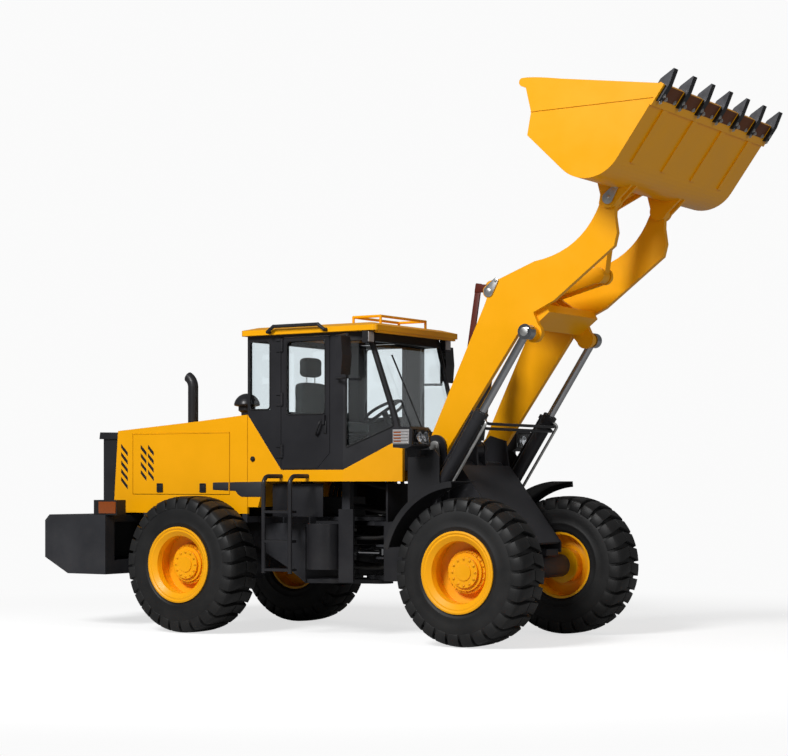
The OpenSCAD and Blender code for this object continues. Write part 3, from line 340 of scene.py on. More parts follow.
def makeStage():
    makeFloor()
    world = bpy.data.worlds.new("studio")
    bpy.context.scene.world = world
    world.use_nodes = True
    tree = world.node_tree
    rays = addNode(tree, "LightPath").outputs
    seen = combined(tree, "MAXIMUM", rays["Is Camera Ray"], rays["Is Transmission Ray"])
    soft = (*[stageSettings["worldStrength"]] * 3, 1)
    feed(tree, tree.nodes["Background"], {0: mixColor(tree, seen, soft, stageSettings["backColor"])})
    bpy.context.scene.view_settings.view_transform = "Standard"
    aimedLight("key")
    aimedLight("fill")
    bpy.ops.object.camera_add(location=cameraSettings["place"],
                              rotation=(math.radians(90), 0, math.radians(cameraSettings["heading"])))
    camera = bpy.context.object
    camera.data.lens = cameraSettings["lens"]
    camera.data.sensor_width = 36.0
    camera.data.shift_y = cameraSettings["shift"]
    camera.data.clip_end = 200
    bpy.context.scene.camera = camera


makeStage()
print("stage set")


# Modelling helpers

mirrorAcross = Matrix.Scale(-1, 4, (0, 1, 0))


def choose(piece):
    clearSelection()
    piece.select_set(True)
    bpy.context.view_layer.objects.active = piece


def applyPlace(piece):
    choose(piece)
    bpy.ops.object.transform_apply(location=True, rotation=True, scale=True)
    return piece


def editAll():
    bpy.ops.object.mode_set(mode="EDIT")
    bpy.ops.mesh.select_all(action="SELECT")


def leaveEdit():
    bpy.ops.object.mode_set(mode="OBJECT")


def fixNormals():
    editAll()
    bpy.ops.mesh.normals_make_consistent(inside=False)
    leaveEdit()


def pickFaces(piece, wanted):
    bpy.context.view_layer.objects.active = piece
    bpy.ops.object.mode_set(mode="EDIT")
    bpy.ops.mesh.select_mode(type="FACE")
    bpy.ops.mesh.select_all(action="DESELECT")
    leaveEdit()
    for face in piece.data.polygons:
        face.select = wanted(face)
    bpy.ops.object.mode_set(mode="EDIT")


def applyModifier(piece, kind, **settings):
    modifier = piece.modifiers.new("change", kind)
    for key, value in settings.items():
        setattr(modifier, key, value)
    bpy.ops.object.modifier_apply(modifier="change")


def ringTurns(count):
    return [2 * math.pi * i / count for i in range(count)]


def steppedFace(piece, wanted, steps):
    pickFaces(piece, wanted)
    for thickness, depth in steps:
        bpy.ops.mesh.inset(thickness=thickness, depth=depth)
    leaveEdit()
    return piece


def outlinePiece(points, fill):
    clearSelection()
    bpy.ops.mesh.primitive_circle_add(vertices=len(points), radius=1, fill_type=fill)
    piece = bpy.context.object
    for vertex, point in zip(piece.data.vertices, points):
        vertex.co = point
    return piece


def shifted(span, distance):
    return [value + distance for value in span]


def boxEnds(x, y, z):
    return Vector((x[0], y[0], z[0])), Vector((x[1], y[1], z[1]))


def plainBox(low, high):
    clearSelection()
    low, high = Vector(low), Vector(high)
    bpy.ops.mesh.primitive_cube_add(size=1, location=(low + high) / 2)
    piece = bpy.context.object
    piece.scale = high - low
    return applyPlace(piece)


def roundBox(low, high, edge):
    piece = plainBox(low, high)
    editAll()
    bpy.ops.mesh.bevel(offset=edge, segments=2, affect="EDGES")
    leaveEdit()
    return piece


def roundBar(start, end, radius, edge, sides=32):
    clearSelection()
    start, end = Vector(start), Vector(end)
    bpy.ops.mesh.primitive_cylinder_add(vertices=sides, radius=radius, depth=(end - start).length,
                                        location=(start + end) / 2)
    piece = bpy.context.object
    piece.rotation_euler = (end - start).to_track_quat("Z", "Y").to_euler()
    pickFaces(piece, lambda face: len(face.vertices) > 4)
    bpy.ops.mesh.bevel(offset=edge, segments=2, affect="EDGES")
    leaveEdit()
    return applyPlace(piece)


def tube(points, radius, closed=False, sides=4):
    clearSelection()
    bpy.ops.curve.primitive_nurbs_path_add(location=(0, 0, 0))
    path = bpy.context.object
    path.data.splines.clear()
    spline = path.data.splines.new("NURBS")
    spline.points.add(len(points) - 1)
    for slot, point in zip(spline.points, points):
        slot.co = (*point, 1)
    spline.order_u = 3
    spline.use_cyclic_u = closed
    spline.use_endpoint_u = not closed
    path.data.bevel_depth = radius
    path.data.bevel_resolution = sides
    path.data.use_fill_caps = not closed
    path.data.resolution_u = 8
    choose(path)
    bpy.ops.object.convert(target="MESH")
    return bpy.context.object


def joinPieces(pieces):
    clearSelection()
    for piece in pieces:
        piece.select_set(True)
    bpy.context.view_layer.objects.active = pieces[0]
    if len(pieces) > 1:
        bpy.ops.object.join()
    return bpy.context.object


def copyOf(model, matrix):
    copied = model.copy()
    copied.data = model.data.copy()
    copied.data.transform(matrix)
    bpy.context.collection.objects.link(copied)
    return copied


def repeated(model, matrices):
    copies = [copyOf(model, matrix) for matrix in matrices]
    bpy.data.objects.remove(model)
    return joinPieces(copies)


def finishPiece(piece, name, finish, body, angle=35):
    applyPlace(piece)
    piece.name = name
    piece.data.name = name
    piece.data.materials.clear()
    piece.data.materials.append(finishes[finish])
    fixNormals()
    bpy.ops.object.shade_smooth_by_angle(angle=math.radians(angle))
    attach(piece, body)
    return piece


def bothSides(build, name, finish, bodies):
    piece = build()
    other = copyOf(piece, mirrorAcross)
    finishPiece(piece, name + "_left", finish, bodies[0])
    finishPiece(other, name + "_right", finish, bodies[1])


# Shares of a bolt's size
boltSettings = {"head": 0.70, "chamfer": 0.12, "inset": 0.35, "stud": 0.35, "washer": 1.35,
                "washerThick": 0.16}


def hexBolt(size):
    shape = {key: share * size for key, share in boltSettings.items()}
    clearSelection()
    bpy.ops.mesh.primitive_cylinder_add(vertices=6, radius=size, depth=shape["head"],
                                        location=(0, 0, shape["head"] / 2))
    bolt = bpy.context.object
    pickFaces(bolt, lambda face: face.normal.z > 0.9)
    bpy.ops.mesh.bevel(offset=shape["chamfer"], segments=1, affect="EDGES")
    leaveEdit()
    applyPlace(bolt)
    pickFaces(bolt, lambda face: face.normal.z > 0.9)
    bpy.ops.mesh.inset(thickness=shape["inset"], depth=0)
    bpy.ops.mesh.extrude_region_move(TRANSFORM_OT_translate={"value": (0, 0, shape["stud"])})
    leaveEdit()
    clearSelection()
    bpy.ops.mesh.primitive_cylinder_add(vertices=16, radius=shape["washer"], depth=shape["washerThick"],
                                        location=(0, 0, shape["washerThick"] / 2))
    return joinPieces([bolt, applyPlace(bpy.context.object)])


def facing(place, direction):
    return Matrix.Translation(Vector(place)) @ Vector(direction).to_track_quat("Z", "Y").to_matrix().to_4x4()


def boltsAt(places, direction, size):
    return repeated(hexBolt(size), [facing(place, direction) for place in places])


# Places in the frame

jointPlaces = {j["name"]: Vector(j.get("pos_m", (0, 0, 0))) for j in frame["joints"]}
jointAxes = {j["name"]: Vector(j["axis"]) for j in frame["joints"]}
boomPivot = jointPlaces["boom_lift"]
bucketPin = jointPlaces["bucket_tilt"]
boomAlong = (bucketPin - boomPivot).normalized()
boomUp = Vector((-boomAlong.z, 0, boomAlong.x))
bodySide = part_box("hood")[1].y

rearBodies = ("rear_frame", "rear_frame")
frontBodies = ("front_frame", "front_frame")
doorBodies = ("door_left", "door_right")
panelBodies = ("hood_side_left", "hood_side_right")


# Tyres and wheel bolts

tyreSettings = {"lugs": 28, "lugDepth": 0.042, "lugWidth": 0.80, "lugThick": 0.055, "lugTaper": 0.22,
                "skew": 0.32, "lugPitchStart": 0.65, "edge": 0.006, "wall": 0.345, "steps": 112}
wheelBoltSettings = {"hub": {"count": 12, "ring": 0.118, "size": 0.011, "out": 0.106},
                     "flange": {"count": 20, "ring": 0.180, "size": 0.010, "out": 0.056}}


def tyreSize(node):
    low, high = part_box(node)
    return (high.z - low.z) / 2, (high.y - low.y) / 2, (low + high) / 2


def spunCarcass(radius, half):
    tread = radius - tyreSettings["lugDepth"]
    bead = radius - tyreSettings["wall"]
    outer = [(bead, half - 0.040), (bead + 0.018, half - 0.030), (bead + 0.022, half - 0.016),
             (bead + 0.050, half - 0.012), (bead + 0.075, half - 0.008), (bead + 0.082, half - 0.002),
             (bead + 0.096, half - 0.002), (bead + 0.104, half - 0.006), (bead + 0.150, half - 0.001),
             (bead + 0.185, half - 0.001), (tread - 0.075, half - 0.006), (tread - 0.030, half - 0.022),
             (tread - 0.006, half - 0.060), (tread, half * 0.45), (tread + 0.002, 0)]
    inner = [(bead - 0.004, -half + 0.060), (bead - 0.004, half - 0.060)]
    ring = outer + [(r, -y) for r, y in reversed(outer[:-1])] + inner
    carcass = outlinePiece([(r, y, 0) for r, y in ring], "NOTHING")
    editAll()
    bpy.ops.mesh.spin(steps=tyreSettings["steps"], angle=2 * math.pi, center=(0, 0, 0), axis=(0, 1, 0))
    bpy.ops.mesh.select_all(action="SELECT")
    bpy.ops.mesh.remove_doubles(threshold=0.0002)
    leaveEdit()
    return carcass


def lugModel(radius, half):
    tyre = tyreSettings
    cell = 2 * math.pi / tyre["lugs"]
    crest = [(radius, 0.006), (radius - 0.001, 0.07), (radius - 0.004, 0.14), (radius - 0.010, half - 0.042),
             (radius - 0.026, half - 0.020), (radius - 0.060, half - 0.006), (radius - 0.118, half - 0.001)]
    clearSelection()
    bpy.ops.mesh.primitive_grid_add(x_subdivisions=len(crest) - 1, y_subdivisions=2, size=2)
    lug = bpy.context.object
    for vertex in lug.data.vertices:
        r, y = crest[round((vertex.co.x + 1) / 2 * (len(crest) - 1))]
        inward = 1 - y / half
        across = vertex.co.y * tyre["lugWidth"] / 2 * (1 - tyre["lugTaper"] * inward)
        turn = cell * (tyre["lugPitchStart"] + across + tyre["skew"] * inward)
        vertex.co = (r * math.cos(turn), y, r * math.sin(turn))
    fixNormals()
    centre = sum((v.co for v in lug.data.vertices), Vector()) / len(lug.data.vertices)
    if lug.data.polygons[0].normal.dot(Vector((centre.x, 0, centre.z))) < 0:
        editAll()
        bpy.ops.mesh.flip_normals()
        leaveEdit()
    applyModifier(lug, "SOLIDIFY", thickness=tyre["lugThick"], offset=-1)
    applyModifier(lug, "BEVEL", width=tyre["edge"], segments=2)
    return lug


def dressHub(wheel, sign, plane):
    low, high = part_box("rim_" + wheel)
    centre = (low + high) / 2
    pieces = []
    for row in wheelBoltSettings.values():
        places = [(centre.x + row["ring"] * math.cos(turn), plane + sign * row["out"],
                   centre.z + row["ring"] * math.sin(turn)) for turn in ringTurns(row["count"])]
        pieces.append(boltsAt(places, (0, sign, 0), row["size"]))
    finishPiece(joinPieces(pieces), "hub_bolts_" + wheel, "rimPaint", "wheel_" + wheel)


def dressWheels():
    radius, half, _ = tyreSize("tyre_front_left")
    carcass = spunCarcass(radius, half)
    turns = [Matrix.Rotation(turn, 4, "Y") for turn in ringTurns(tyreSettings["lugs"])]
    lugs = repeated(lugModel(radius, half), turns + [turn @ mirrorAcross for turn in turns])
    master = joinPieces([carcass, lugs])
    fixNormals()
    for end in ("front", "rear"):
        for side, sign in sideSigns.items():
            wheel = f"{end}_{side}"
            node = "tyre_" + wheel
            centre = tyreSize(node)[2]
            tyre = copyOf(master, Matrix.Translation(centre))
            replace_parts(finishPiece(tyre, "tread_" + wheel, "tyreRubber", "wheel_" + wheel, angle=40), node)
            dressHub(wheel, sign, centre.y)
    bpy.data.objects.remove(master)
    print("tyres and wheel bolts")


# Flat plates and window seals

def platePiece(outline, thickness, edge):
    plate = outlinePiece(outline, "NGON")
    editAll()
    bpy.ops.mesh.extrude_region_move(TRANSFORM_OT_translate={"value": thickness})
    leaveEdit()
    fixNormals()
    applyModifier(plate, "BEVEL", width=edge, segments=2)
    return plate


def sealPath(corners, radius):
    path = []
    corners = [Vector(c) for c in corners]
    for i, corner in enumerate(corners):
        before = (corners[i - 1] - corner).normalized()
        after = (corners[(i + 1) % len(corners)] - corner).normalized()
        path += [corner + before * radius * 3, corner + before * radius, corner + after * radius,
                 corner + after * radius * 3]
    return path


windowSettings = {"seal": 0.008, "corner": 0.022, "sunk": 0.002,
                  "door": ((-0.620, 2.110), (-0.165, 2.110), (-0.165, 2.815), (-0.620, 2.815)),
                  "quarter": ((-1.060, 2.165), (-0.815, 2.165), (-0.815, 2.825), (-1.060, 2.825)),
                  "front": {"foot": (0.600, 1.880), "head": (0.290, 2.880), "span": (0.060, 0.960),
                            "half": (0.510, 0.588)},
                  "side": {"post": 0.040, "edge": (0.600, 0.530), "outline": (
                      (0.030, 1.790), (0.500, 1.990), (0.460, 2.160), (0.257, 2.800), (0.030, 2.800))}}


def frontPane(across, up, out=0.0):
    pane = windowSettings["front"]
    foot = Vector((pane["foot"][0], 0, pane["foot"][1]))
    rise = (Vector((pane["head"][0], 0, pane["head"][1])) - foot).normalized()
    outward = Vector((rise.z, 0, -rise.x))
    return foot + rise * up + outward * out + Vector((0, across, 0))


def sidePane(along, up):
    pane = windowSettings["side"]
    run = Vector((pane["edge"][0] - pane["post"], pane["edge"][1] - bodySide, 0)).normalized()
    return Vector((pane["post"], bodySide, up)) + run * along


def sealLoop(corners, radius):
    return tube(sealPath(corners, radius), windowSettings["seal"], closed=True)


def dressWindows():
    corner = windowSettings["corner"]
    for name, bodies in (("door", doorBodies), ("quarter", rearBodies)):
        corners = [(x, bodySide - windowSettings["sunk"], z) for x, z in windowSettings[name]]
        bothSides(lambda: sealLoop(corners, corner), name + "_seal", "hoseRubber", bodies)
    outline = [sidePane(*point) for point in windowSettings["side"]["outline"]]
    bothSides(lambda: sealLoop(outline, corner / 2), "corner_seal", "hoseRubber", rearBodies)
    pane = windowSettings["front"]
    corners = [frontPane(side * pane["half"][end], pane["span"][end])
               for side, end in ((-1, 0), (1, 0), (1, 1), (-1, 1))]
    finishPiece(sealLoop(corners, corner), "windscreen_seal", "hoseRubber", "rear_frame")
    print("window seals")


wiperSettings = {"pivot": (-0.16, 0.035), "tip": (-0.30, 0.62), "pivotOut": 0.022, "tipOut": 0.012,
                 "arm": 0.007, "straight": 0.12, "blade": 0.30, "bladeAhead": 0.7, "bladeThick": 1.2,
                 "boss": (-0.004, 0.032), "bossRadius": 0.020, "edge": 0.004}


def dressWiper():
    wiper = wiperSettings
    start = frontPane(*wiper["pivot"], wiper["pivotOut"])
    tip = frontPane(*wiper["tip"], wiper["tipOut"])
    along = (tip - start).normalized()
    blade = along * wiper["blade"]
    boss = [frontPane(*wiper["pivot"], out) for out in wiper["boss"]]
    pieces = [roundBar(*boss, wiper["bossRadius"], wiper["edge"]),
              tube([start, start + along * wiper["straight"], (start + tip) / 2, tip], wiper["arm"]),
              tube([tip - blade, tip, tip + blade * wiper["bladeAhead"]], wiper["arm"] * wiper["bladeThick"])]
    finishPiece(joinPieces(pieces), "wiper", "mouldedPlastic", "rear_frame")
    print("wiper")


handleSettings = {"low": (-0.252, 1.905), "high": (-0.196, 2.055), "stand": 0.040, "bow": 0.006,
                  "sunk": 0.004, "grip": 0.012, "lockX": (-0.185, -0.145), "lockY": (-0.002, 0.014),
                  "lockZ": (1.925, 2.045), "edge": 0.005}


def doorHandle():
    handle = handleSettings
    lowX, lowZ, highX, highZ = *handle["low"], *handle["high"]
    foot, stand = bodySide - handle["sunk"], bodySide + handle["stand"]
    grip = tube([(lowX, foot, lowZ), (lowX, stand, lowZ + handle["grip"]),
                 ((lowX + highX) / 2, stand + handle["bow"], (lowZ + highZ) / 2),
                 (highX, stand, highZ - handle["grip"]), (highX, foot, highZ)], handle["grip"])
    lock = boxEnds(handle["lockX"], shifted(handle["lockY"], bodySide), handle["lockZ"])
    return joinPieces([grip, roundBox(*lock, handle["edge"])])


# Hood trim

trimSettings = {"latches": (-2.187, -1.638), "latchX": (-0.039, 0.039), "latchY": (-0.004, 0.012),
                "latchZ": (1.362, 1.452), "latchEdge": 0.006, "latchSteps": ((0.010, -0.006), (0.008, 0.004)),
                "knob": (-1.020, 1.688), "knobSteps": ((-0.002, 0.012, 0.026), (0.010, 0.026, 0.017)),
                "knobEdge": 0.004, "slotY": (-0.036, -0.004), "slotPitch": 0.084, "slotTall": 0.044,
                "rearSlots": ((-2.700, 1.385, 5, 0.090),),
                "panelSlots": ((-2.440, 1.470, 4, 0.076), (-2.345, 1.470, 4, 0.076)),
                "panelX": (-2.540, -1.310), "panelZ": (1.345, 1.950), "sealY": (-0.040, -0.031),
                "sealOut": 0.020, "sealIn": 0.015,
                "band": ((-1.513, 1.388), (-1.513, 1.460), (-1.318, 1.463), (-1.318, 1.380)),
                "bandFront": ((-1.302, 1.380), (-1.302, 1.463), (-0.900, 1.468), (-0.900, 1.320),
                              (-1.160, 1.320), (-1.205, 1.345), (-1.232, 1.378)),
                "bandSunk": 0.001, "bandThick": 0.004}


def latchPair():
    trim = trimSettings
    latches = []
    for x in trim["latches"]:
        ends = boxEnds(shifted(trim["latchX"], x), shifted(trim["latchY"], bodySide), trim["latchZ"])
        latches.append(steppedFace(roundBox(*ends, trim["latchEdge"]),
                                   lambda face: face.normal.y > 0.95 and face.area > 0.002,
                                   trim["latchSteps"]))
    return joinPieces(latches)


def bandPlate(outline):
    face = bodySide - trimSettings["bandSunk"]
    return platePiece([(x, face, z) for x, z in outline], (0, trimSettings["bandThick"], 0), 0.001)


def slotInserts(columns):
    trim = trimSettings
    inner, outer = shifted(trim["slotY"], bodySide)
    tall = trim["slotTall"]
    pieces = []
    for x, low, count, wide in columns:
        for i in range(count):
            z = low + trim["slotPitch"] * i
            corners = ((x, z + wide), (x, z + wide + tall), (x + wide, z + tall), (x + wide, z))
            pieces.append(platePiece([(cx, inner, cz) for cx, cz in corners], (0, outer - inner, 0), 0.0005))
    return joinPieces(pieces)


def panelSeal():
    trim = trimSettings
    (left, right), (low, high) = trim["panelX"], trim["panelZ"]
    out, inside = trim["sealOut"], trim["sealIn"]
    across = shifted(trim["sealY"], bodySide)
    strips = (((left - out, right + out), (low - out, low + inside)),
              ((left - out, left + inside), (low, high)),
              ((right - inside, right + out), (low, high)))
    return joinPieces([roundBox(*boxEnds(x, across, z), 0.002) for x, z in strips])


def hoodKnob():
    trim = trimSettings
    x, z = trim["knob"]
    return joinPieces([roundBar((x, bodySide + low, z), (x, bodySide + high, z), radius, trim["knobEdge"])
                       for low, high, radius in trim["knobSteps"]])


def dressHood():
    trim = trimSettings
    for row in ((latchPair, "hood_latch", "mouldedPlastic", panelBodies),
                (lambda: bandPlate(trim["band"]), "panel_band", "charcoalPaint", panelBodies),
                (lambda: bandPlate(trim["bandFront"]), "hood_band", "charcoalPaint", rearBodies),
                (lambda: slotInserts(trim["rearSlots"]), "slot_mesh", "mouldedPlastic", rearBodies),
                (lambda: slotInserts(trim["panelSlots"]), "panel_slot_mesh", "mouldedPlastic", panelBodies),
                (panelSeal, "panel_seal", "hoseRubber", rearBodies),
                (hoodKnob, "hood_knob", "mouldedPlastic", rearBodies),
                (doorHandle, "door_handle", "mouldedPlastic", doorBodies)):
        bothSides(*row)
    print("hood and door trim")


# Lamps and mirrors

lampSettings = {"sideOut": 0.008, "ribX": (0.878, 1.039), "ribZ": (1.804, 1.938), "ribs": 5,
                "ribRadius": 0.0085, "bowlX": (1.052, 1.059), "bowlY": (0.867, 0.962), "bowlZ": 1.871,
                "bowlRadius": 0.04592, "bowlSteps": ((0.012, -0.002), (0.018, -0.002)),
                "mirrorX": (0.1665, 0.1745), "mirrorY": (0.867, 0.983), "mirrorZ": (2.497, 2.783),
                "edge": 0.003}
# Finish, bodies, node it is on, outward, ribs, and spans in x, y and z. On a node, y counts from its outer
# side, and on the counterweight z counts from its top
lensSettings = {
    "headlamp_lens": ("lampGlass", frontBodies, None, (1, 0, 0), 8,
                      (1.063, 1.074), (0.812, 1.088), (1.804, 1.938)),
    "side_lamp_lens": ("clearLens", frontBodies, "headlamps", (0, 1, 0), 6,
                       (0.872, 1.045), (-0.004, 0.008), (1.804, 1.938)),
    "indicator_lens": ("amberLens", frontBodies, "headlamps", (0, 1, 0), 6,
                       (0.884, 0.962), (-0.004, 0.012), (1.822, 1.920)),
    "side_lens": ("amberLens", rearBodies, "counterweight", (0, 1, 0), 5,
                  (-2.690, -2.468), (-0.014, 0.0), (0.016, 0.134)),
    "tail_lens": ("redLens", rearBodies, "counterweight", (-1, 0, 0), 5,
                  (-2.772, -2.756), (-0.135, -0.025), (0.020, 0.130)),
    "work_lens": ("clearLens", rearBodies, None, (1, 0, 0), 5,
                  (0.347, 0.359), (0.645, 0.735), (2.775, 2.870)),
}


def ribbedLens(node, outward, ribs, x, y, z):
    if node:
        y = shifted(y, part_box(node)[1].y)
    if node == "counterweight":
        z = shifted(z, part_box(node)[1].z)
    pane = roundBox(*boxEnds(x, y, z), lampSettings["edge"])
    pickFaces(pane, lambda face: face.normal.dot(Vector(outward)) > 0.95 and face.area > 1e-4)
    bpy.ops.mesh.subdivide(number_cuts=ribs, quadcorner="INNERVERT")
    leaveEdit()
    return pane


def lensRibs():
    lamp = lampSettings
    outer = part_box("headlamps")[1].y + lamp["sideOut"]
    (back, front), (low, high) = lamp["ribX"], lamp["ribZ"]
    ribs = []
    for i in range(lamp["ribs"]):
        z = low + (high - low) * (i + 0.5) / lamp["ribs"]
        ribs.append(roundBar((back, outer, z), (front, outer, z), lamp["ribRadius"], 0.002, 12))
    return joinPieces(ribs)


def headlampBowls():
    lamp = lampSettings
    (back, front), z = lamp["bowlX"], lamp["bowlZ"]
    bowls = []
    for y in lamp["bowlY"]:
        bowls.append(steppedFace(roundBar((back, y, z), (front, y, z), lamp["bowlRadius"], 0.002),
                                 lambda face: face.normal.x > 0.95 and len(face.vertices) > 8,
                                 lamp["bowlSteps"]))
    return joinPieces(bowls)


def mirrorFace():
    lamp = lampSettings
    return roundBox(*boxEnds(lamp["mirrorX"], lamp["mirrorY"], lamp["mirrorZ"]), lamp["edge"])


def dressLenses(bodies):
    for name, (finish, owners, *lens) in lensSettings.items():
        if owners == bodies:
            bothSides(lambda: ribbedLens(*lens), name, finish, bodies)


def dressLamps():
    dressLenses(frontBodies)
    bothSides(lensRibs, "side_lamp_ribs", "clearLens", frontBodies)
    bothSides(headlampBowls, "headlamp_bowls", "rodChrome", frontBodies)
    dressLenses(rearBodies)
    bothSides(mirrorFace, "mirror_face", "rodChrome", rearBodies)
    print("lamps and mirrors")


# Seat

# Low and high corner, thin axis, sewn channels and roundness
padSettings = {
    "seat_cushion": ((-0.760, -0.240, 1.935), (-0.250, 0.240, 2.055), 2, (-0.45, 0.15), 0.35),
    "seat_back": ((-0.878, -0.228, 2.040), (-0.762, 0.228, 2.458), 0, (-0.55, 0.55), 0.45),
    "head_rest": ((-0.873, -0.148, 2.502), (-0.777, 0.148, 2.703), 0, (), 0.75),
}
seatSettings = {"cuts": 15, "rim": 0.72, "channel": 0.010, "channelWidth": 0.035, "waist": 0.035,
                "pinch": 0.05, "stalkX": -0.825, "stalkY": (-0.07, 0.07), "stalkZ": (2.42, 2.48, 2.54),
                "stalk": 0.007, "slide": ((-0.700, -0.190, 1.912), (-0.290, 0.190, 1.940)),
                "slideEdge": 0.006}
pedestalSettings = {"x": (-0.620, -0.340), "y": (-0.130, 0.130), "folds": 6, "tall": 0.045, "lap": 0.001,
                    "grow": 0.020, "edge": 0.012}


def paddedBlock(low, high, thinAxis, channels, roundness):
    seat = seatSettings
    pad = plainBox(low, high)
    editAll()
    bpy.ops.mesh.subdivide(number_cuts=seat["cuts"])
    leaveEdit()
    low, high = Vector(low), Vector(high)
    mid, size = (low + high) / 2, (high - low) / 2
    wide = [axis for axis in range(3) if axis != thinAxis]
    for vertex in pad.data.vertices:
        rel = [(vertex.co[axis] - mid[axis]) / size[axis] for axis in range(3)]
        u, v = rel[wide[0]], rel[wide[1]]
        rel[wide[0]] = u * math.sqrt(1 - roundness * v ** 4 / 2)
        rel[wide[1]] = v * math.sqrt(1 - roundness * u ** 4 / 2)
        crown = math.prod(1 - abs(rel[axis]) ** 6 for axis in wide)
        thick = size[thinAxis] * (seat["rim"] + (1 - seat["rim"]) * math.sqrt(max(crown, 0.0)))
        sew = sum(math.exp(-((rel[wide[0]] - place) / seat["channelWidth"]) ** 2) for place in channels)
        vertex.co[thinAxis] = mid[thinAxis] + rel[thinAxis] * (thick - seat["channel"] * sew)
        for axis, other in (wide, wide[::-1]):
            waist = seat["waist"] * (1 - rel[other] ** 2)
            pinch = seat["pinch"] * rel[thinAxis] ** 4
            vertex.co[axis] = mid[axis] + rel[axis] * size[axis] * (1 - (waist + pinch) * abs(rel[axis]))
    applyModifier(pad, "SUBSURF", levels=1, render_levels=1)
    return pad


def seatPedestal():
    fold = pedestalSettings
    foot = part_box("seat")[0].z
    folds = []
    for i in range(fold["folds"]):
        grow = Vector((1, 1, 0)) * (fold["grow"] if i % 2 else 0.0)
        base = foot + fold["tall"] * i
        low, high = boxEnds(fold["x"], fold["y"], (base, base + fold["tall"] + fold["lap"]))
        folds.append(roundBox(low - grow, high + grow, fold["edge"]))
    return joinPieces(folds)


def dressSeat():
    seat = seatSettings
    cushion, back, rest = [finishPiece(paddedBlock(*pad), name, "seatFabric", "rear_frame", angle=60)
                           for name, pad in padSettings.items()]
    finishPiece(seatPedestal(), "seat_pedestal", "hoseRubber", "rear_frame")
    stalks = [tube([(seat["stalkX"], y, z) for z in seat["stalkZ"]], seat["stalk"]) for y in seat["stalkY"]]
    finishPiece(joinPieces(stalks), "rest_stalks", "zincSteel", "rear_frame")
    finishPiece(roundBox(*seat["slide"], seat["slideEdge"]), "seat_slide", "blackPaint", "rear_frame")
    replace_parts(cushion, "seat")
    print("seat")


# Pins, bolts and rods on the linkage

pinSettings = {"round": 0.052, "tail": 0.026, "length": 0.120, "thick": 0.012, "bolt": 0.012, "edge": 0.002,
               "cap": 0.0286, "capThick": 0.006, "crank": (1.433, 0.472), "crankSide": 0.527,
               "bucketSide": 0.573, "towerInset": 0.133, "towerHang": (0.3, 0, -1), "liftEye": 1.8056,
               "liftCap": 0.040, "liftCapY": (-0.002, 0.003), "liftCapEdge": 0.0015}


def halfRound(centre, along, up, radius, start, steps):
    turns = [math.radians(start + 180 * i / steps) for i in range(steps + 1)]
    return [centre + along * radius * math.cos(turn) + up * radius * math.sin(turn) for turn in turns]


def pinFlag(place, direction, sign):
    pin = pinSettings
    along = Vector(direction).normalized()
    up = Vector((-along.z, 0, along.x))
    end = place + along * pin["length"]
    out = Vector((0, sign * pin["thick"], 0))
    outline = halfRound(place, along, up, pin["round"], 90, 12)
    outline += halfRound(end, along, up, pin["tail"], -90, 8)
    plate = platePiece(outline, out, pin["edge"])
    bolt = boltsAt([end + out], (0, sign, 0), pin["bolt"])
    top = place + out
    cap = roundBar(top, top + Vector((0, sign * pin["capThick"], 0)), pin["cap"], pin["edge"])
    return joinPieces([plate, bolt, cap])


def dressPins():
    pin = pinSettings
    crank = boomPivot + boomAlong * pin["crank"][0] + boomUp * pin["crank"][1]
    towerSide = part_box("tower_left")[1].y - pin["towerInset"]
    flags = {"bucket": (bucketPin, boomAlong, pin["bucketSide"], "bucket"),
             "crank": (crank, boomAlong, pin["crankSide"], "boom"),
             "pivot": (boomPivot, pin["towerHang"], towerSide, "front_frame")}
    for side, sign in sideSigns.items():
        for name, (place, direction, across, body) in flags.items():
            spot = Vector((place.x, sign * across, place.z))
            finishPiece(pinFlag(spot, direction, sign), f"{name}_pin_flag_{side}", "zincSteel", body)
        rod = "lift_rod_" + side
        low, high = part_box(rod)
        spot = jointPlaces["lift_swing_" + side] + jointAxes["lift_stroke_" + side] * pin["liftEye"]
        spot.y = high.y if sign > 0 else low.y
        ends = [spot + Vector((0, sign * out, 0)) for out in pin["liftCapY"]]
        cap = roundBar(*ends, pin["liftCap"], pin["liftCapEdge"])
        finishPiece(cap, "lift_pin_cap_" + side, "zincSteel", rod)
    print("pin flags")


bucketSettings = {"tilt": 54.0, "edgeFront": 1.128, "edgeBack": 1.000, "floor": -0.203,
                  "plateZ": (0.001, -0.006), "half": 1.135, "teeth": 7, "adapterHalf": 0.060,
                  "beside": 0.105, "edge": 0.002, "boltAlong": 1.018, "boltDown": 0.004, "boltSize": 0.015,
                  "adapterAlong": (0.985, 1.045), "adapterDown": 0.026, "adapterSize": 0.014}


def bucketPoint(along, up, across):
    turn = math.radians(bucketSettings["tilt"])
    ahead = Vector((math.cos(turn), 0, math.sin(turn)))
    above = Vector((-math.sin(turn), 0, math.cos(turn)))
    return bucketPin + ahead * along + above * up + Vector((0, across, 0))


def edgePlate(low, high):
    bucket = bucketSettings
    back, front, (seat, drop) = bucket["edgeBack"], bucket["edgeFront"], bucket["plateZ"]
    corners = ((back, low), (front, low), (front, high), (back, high))
    outline = [bucketPoint(along, bucket["floor"] + seat, across) for along, across in corners]
    return platePiece(outline, bucketPoint(0, drop, 0) - bucketPin, bucket["edge"])


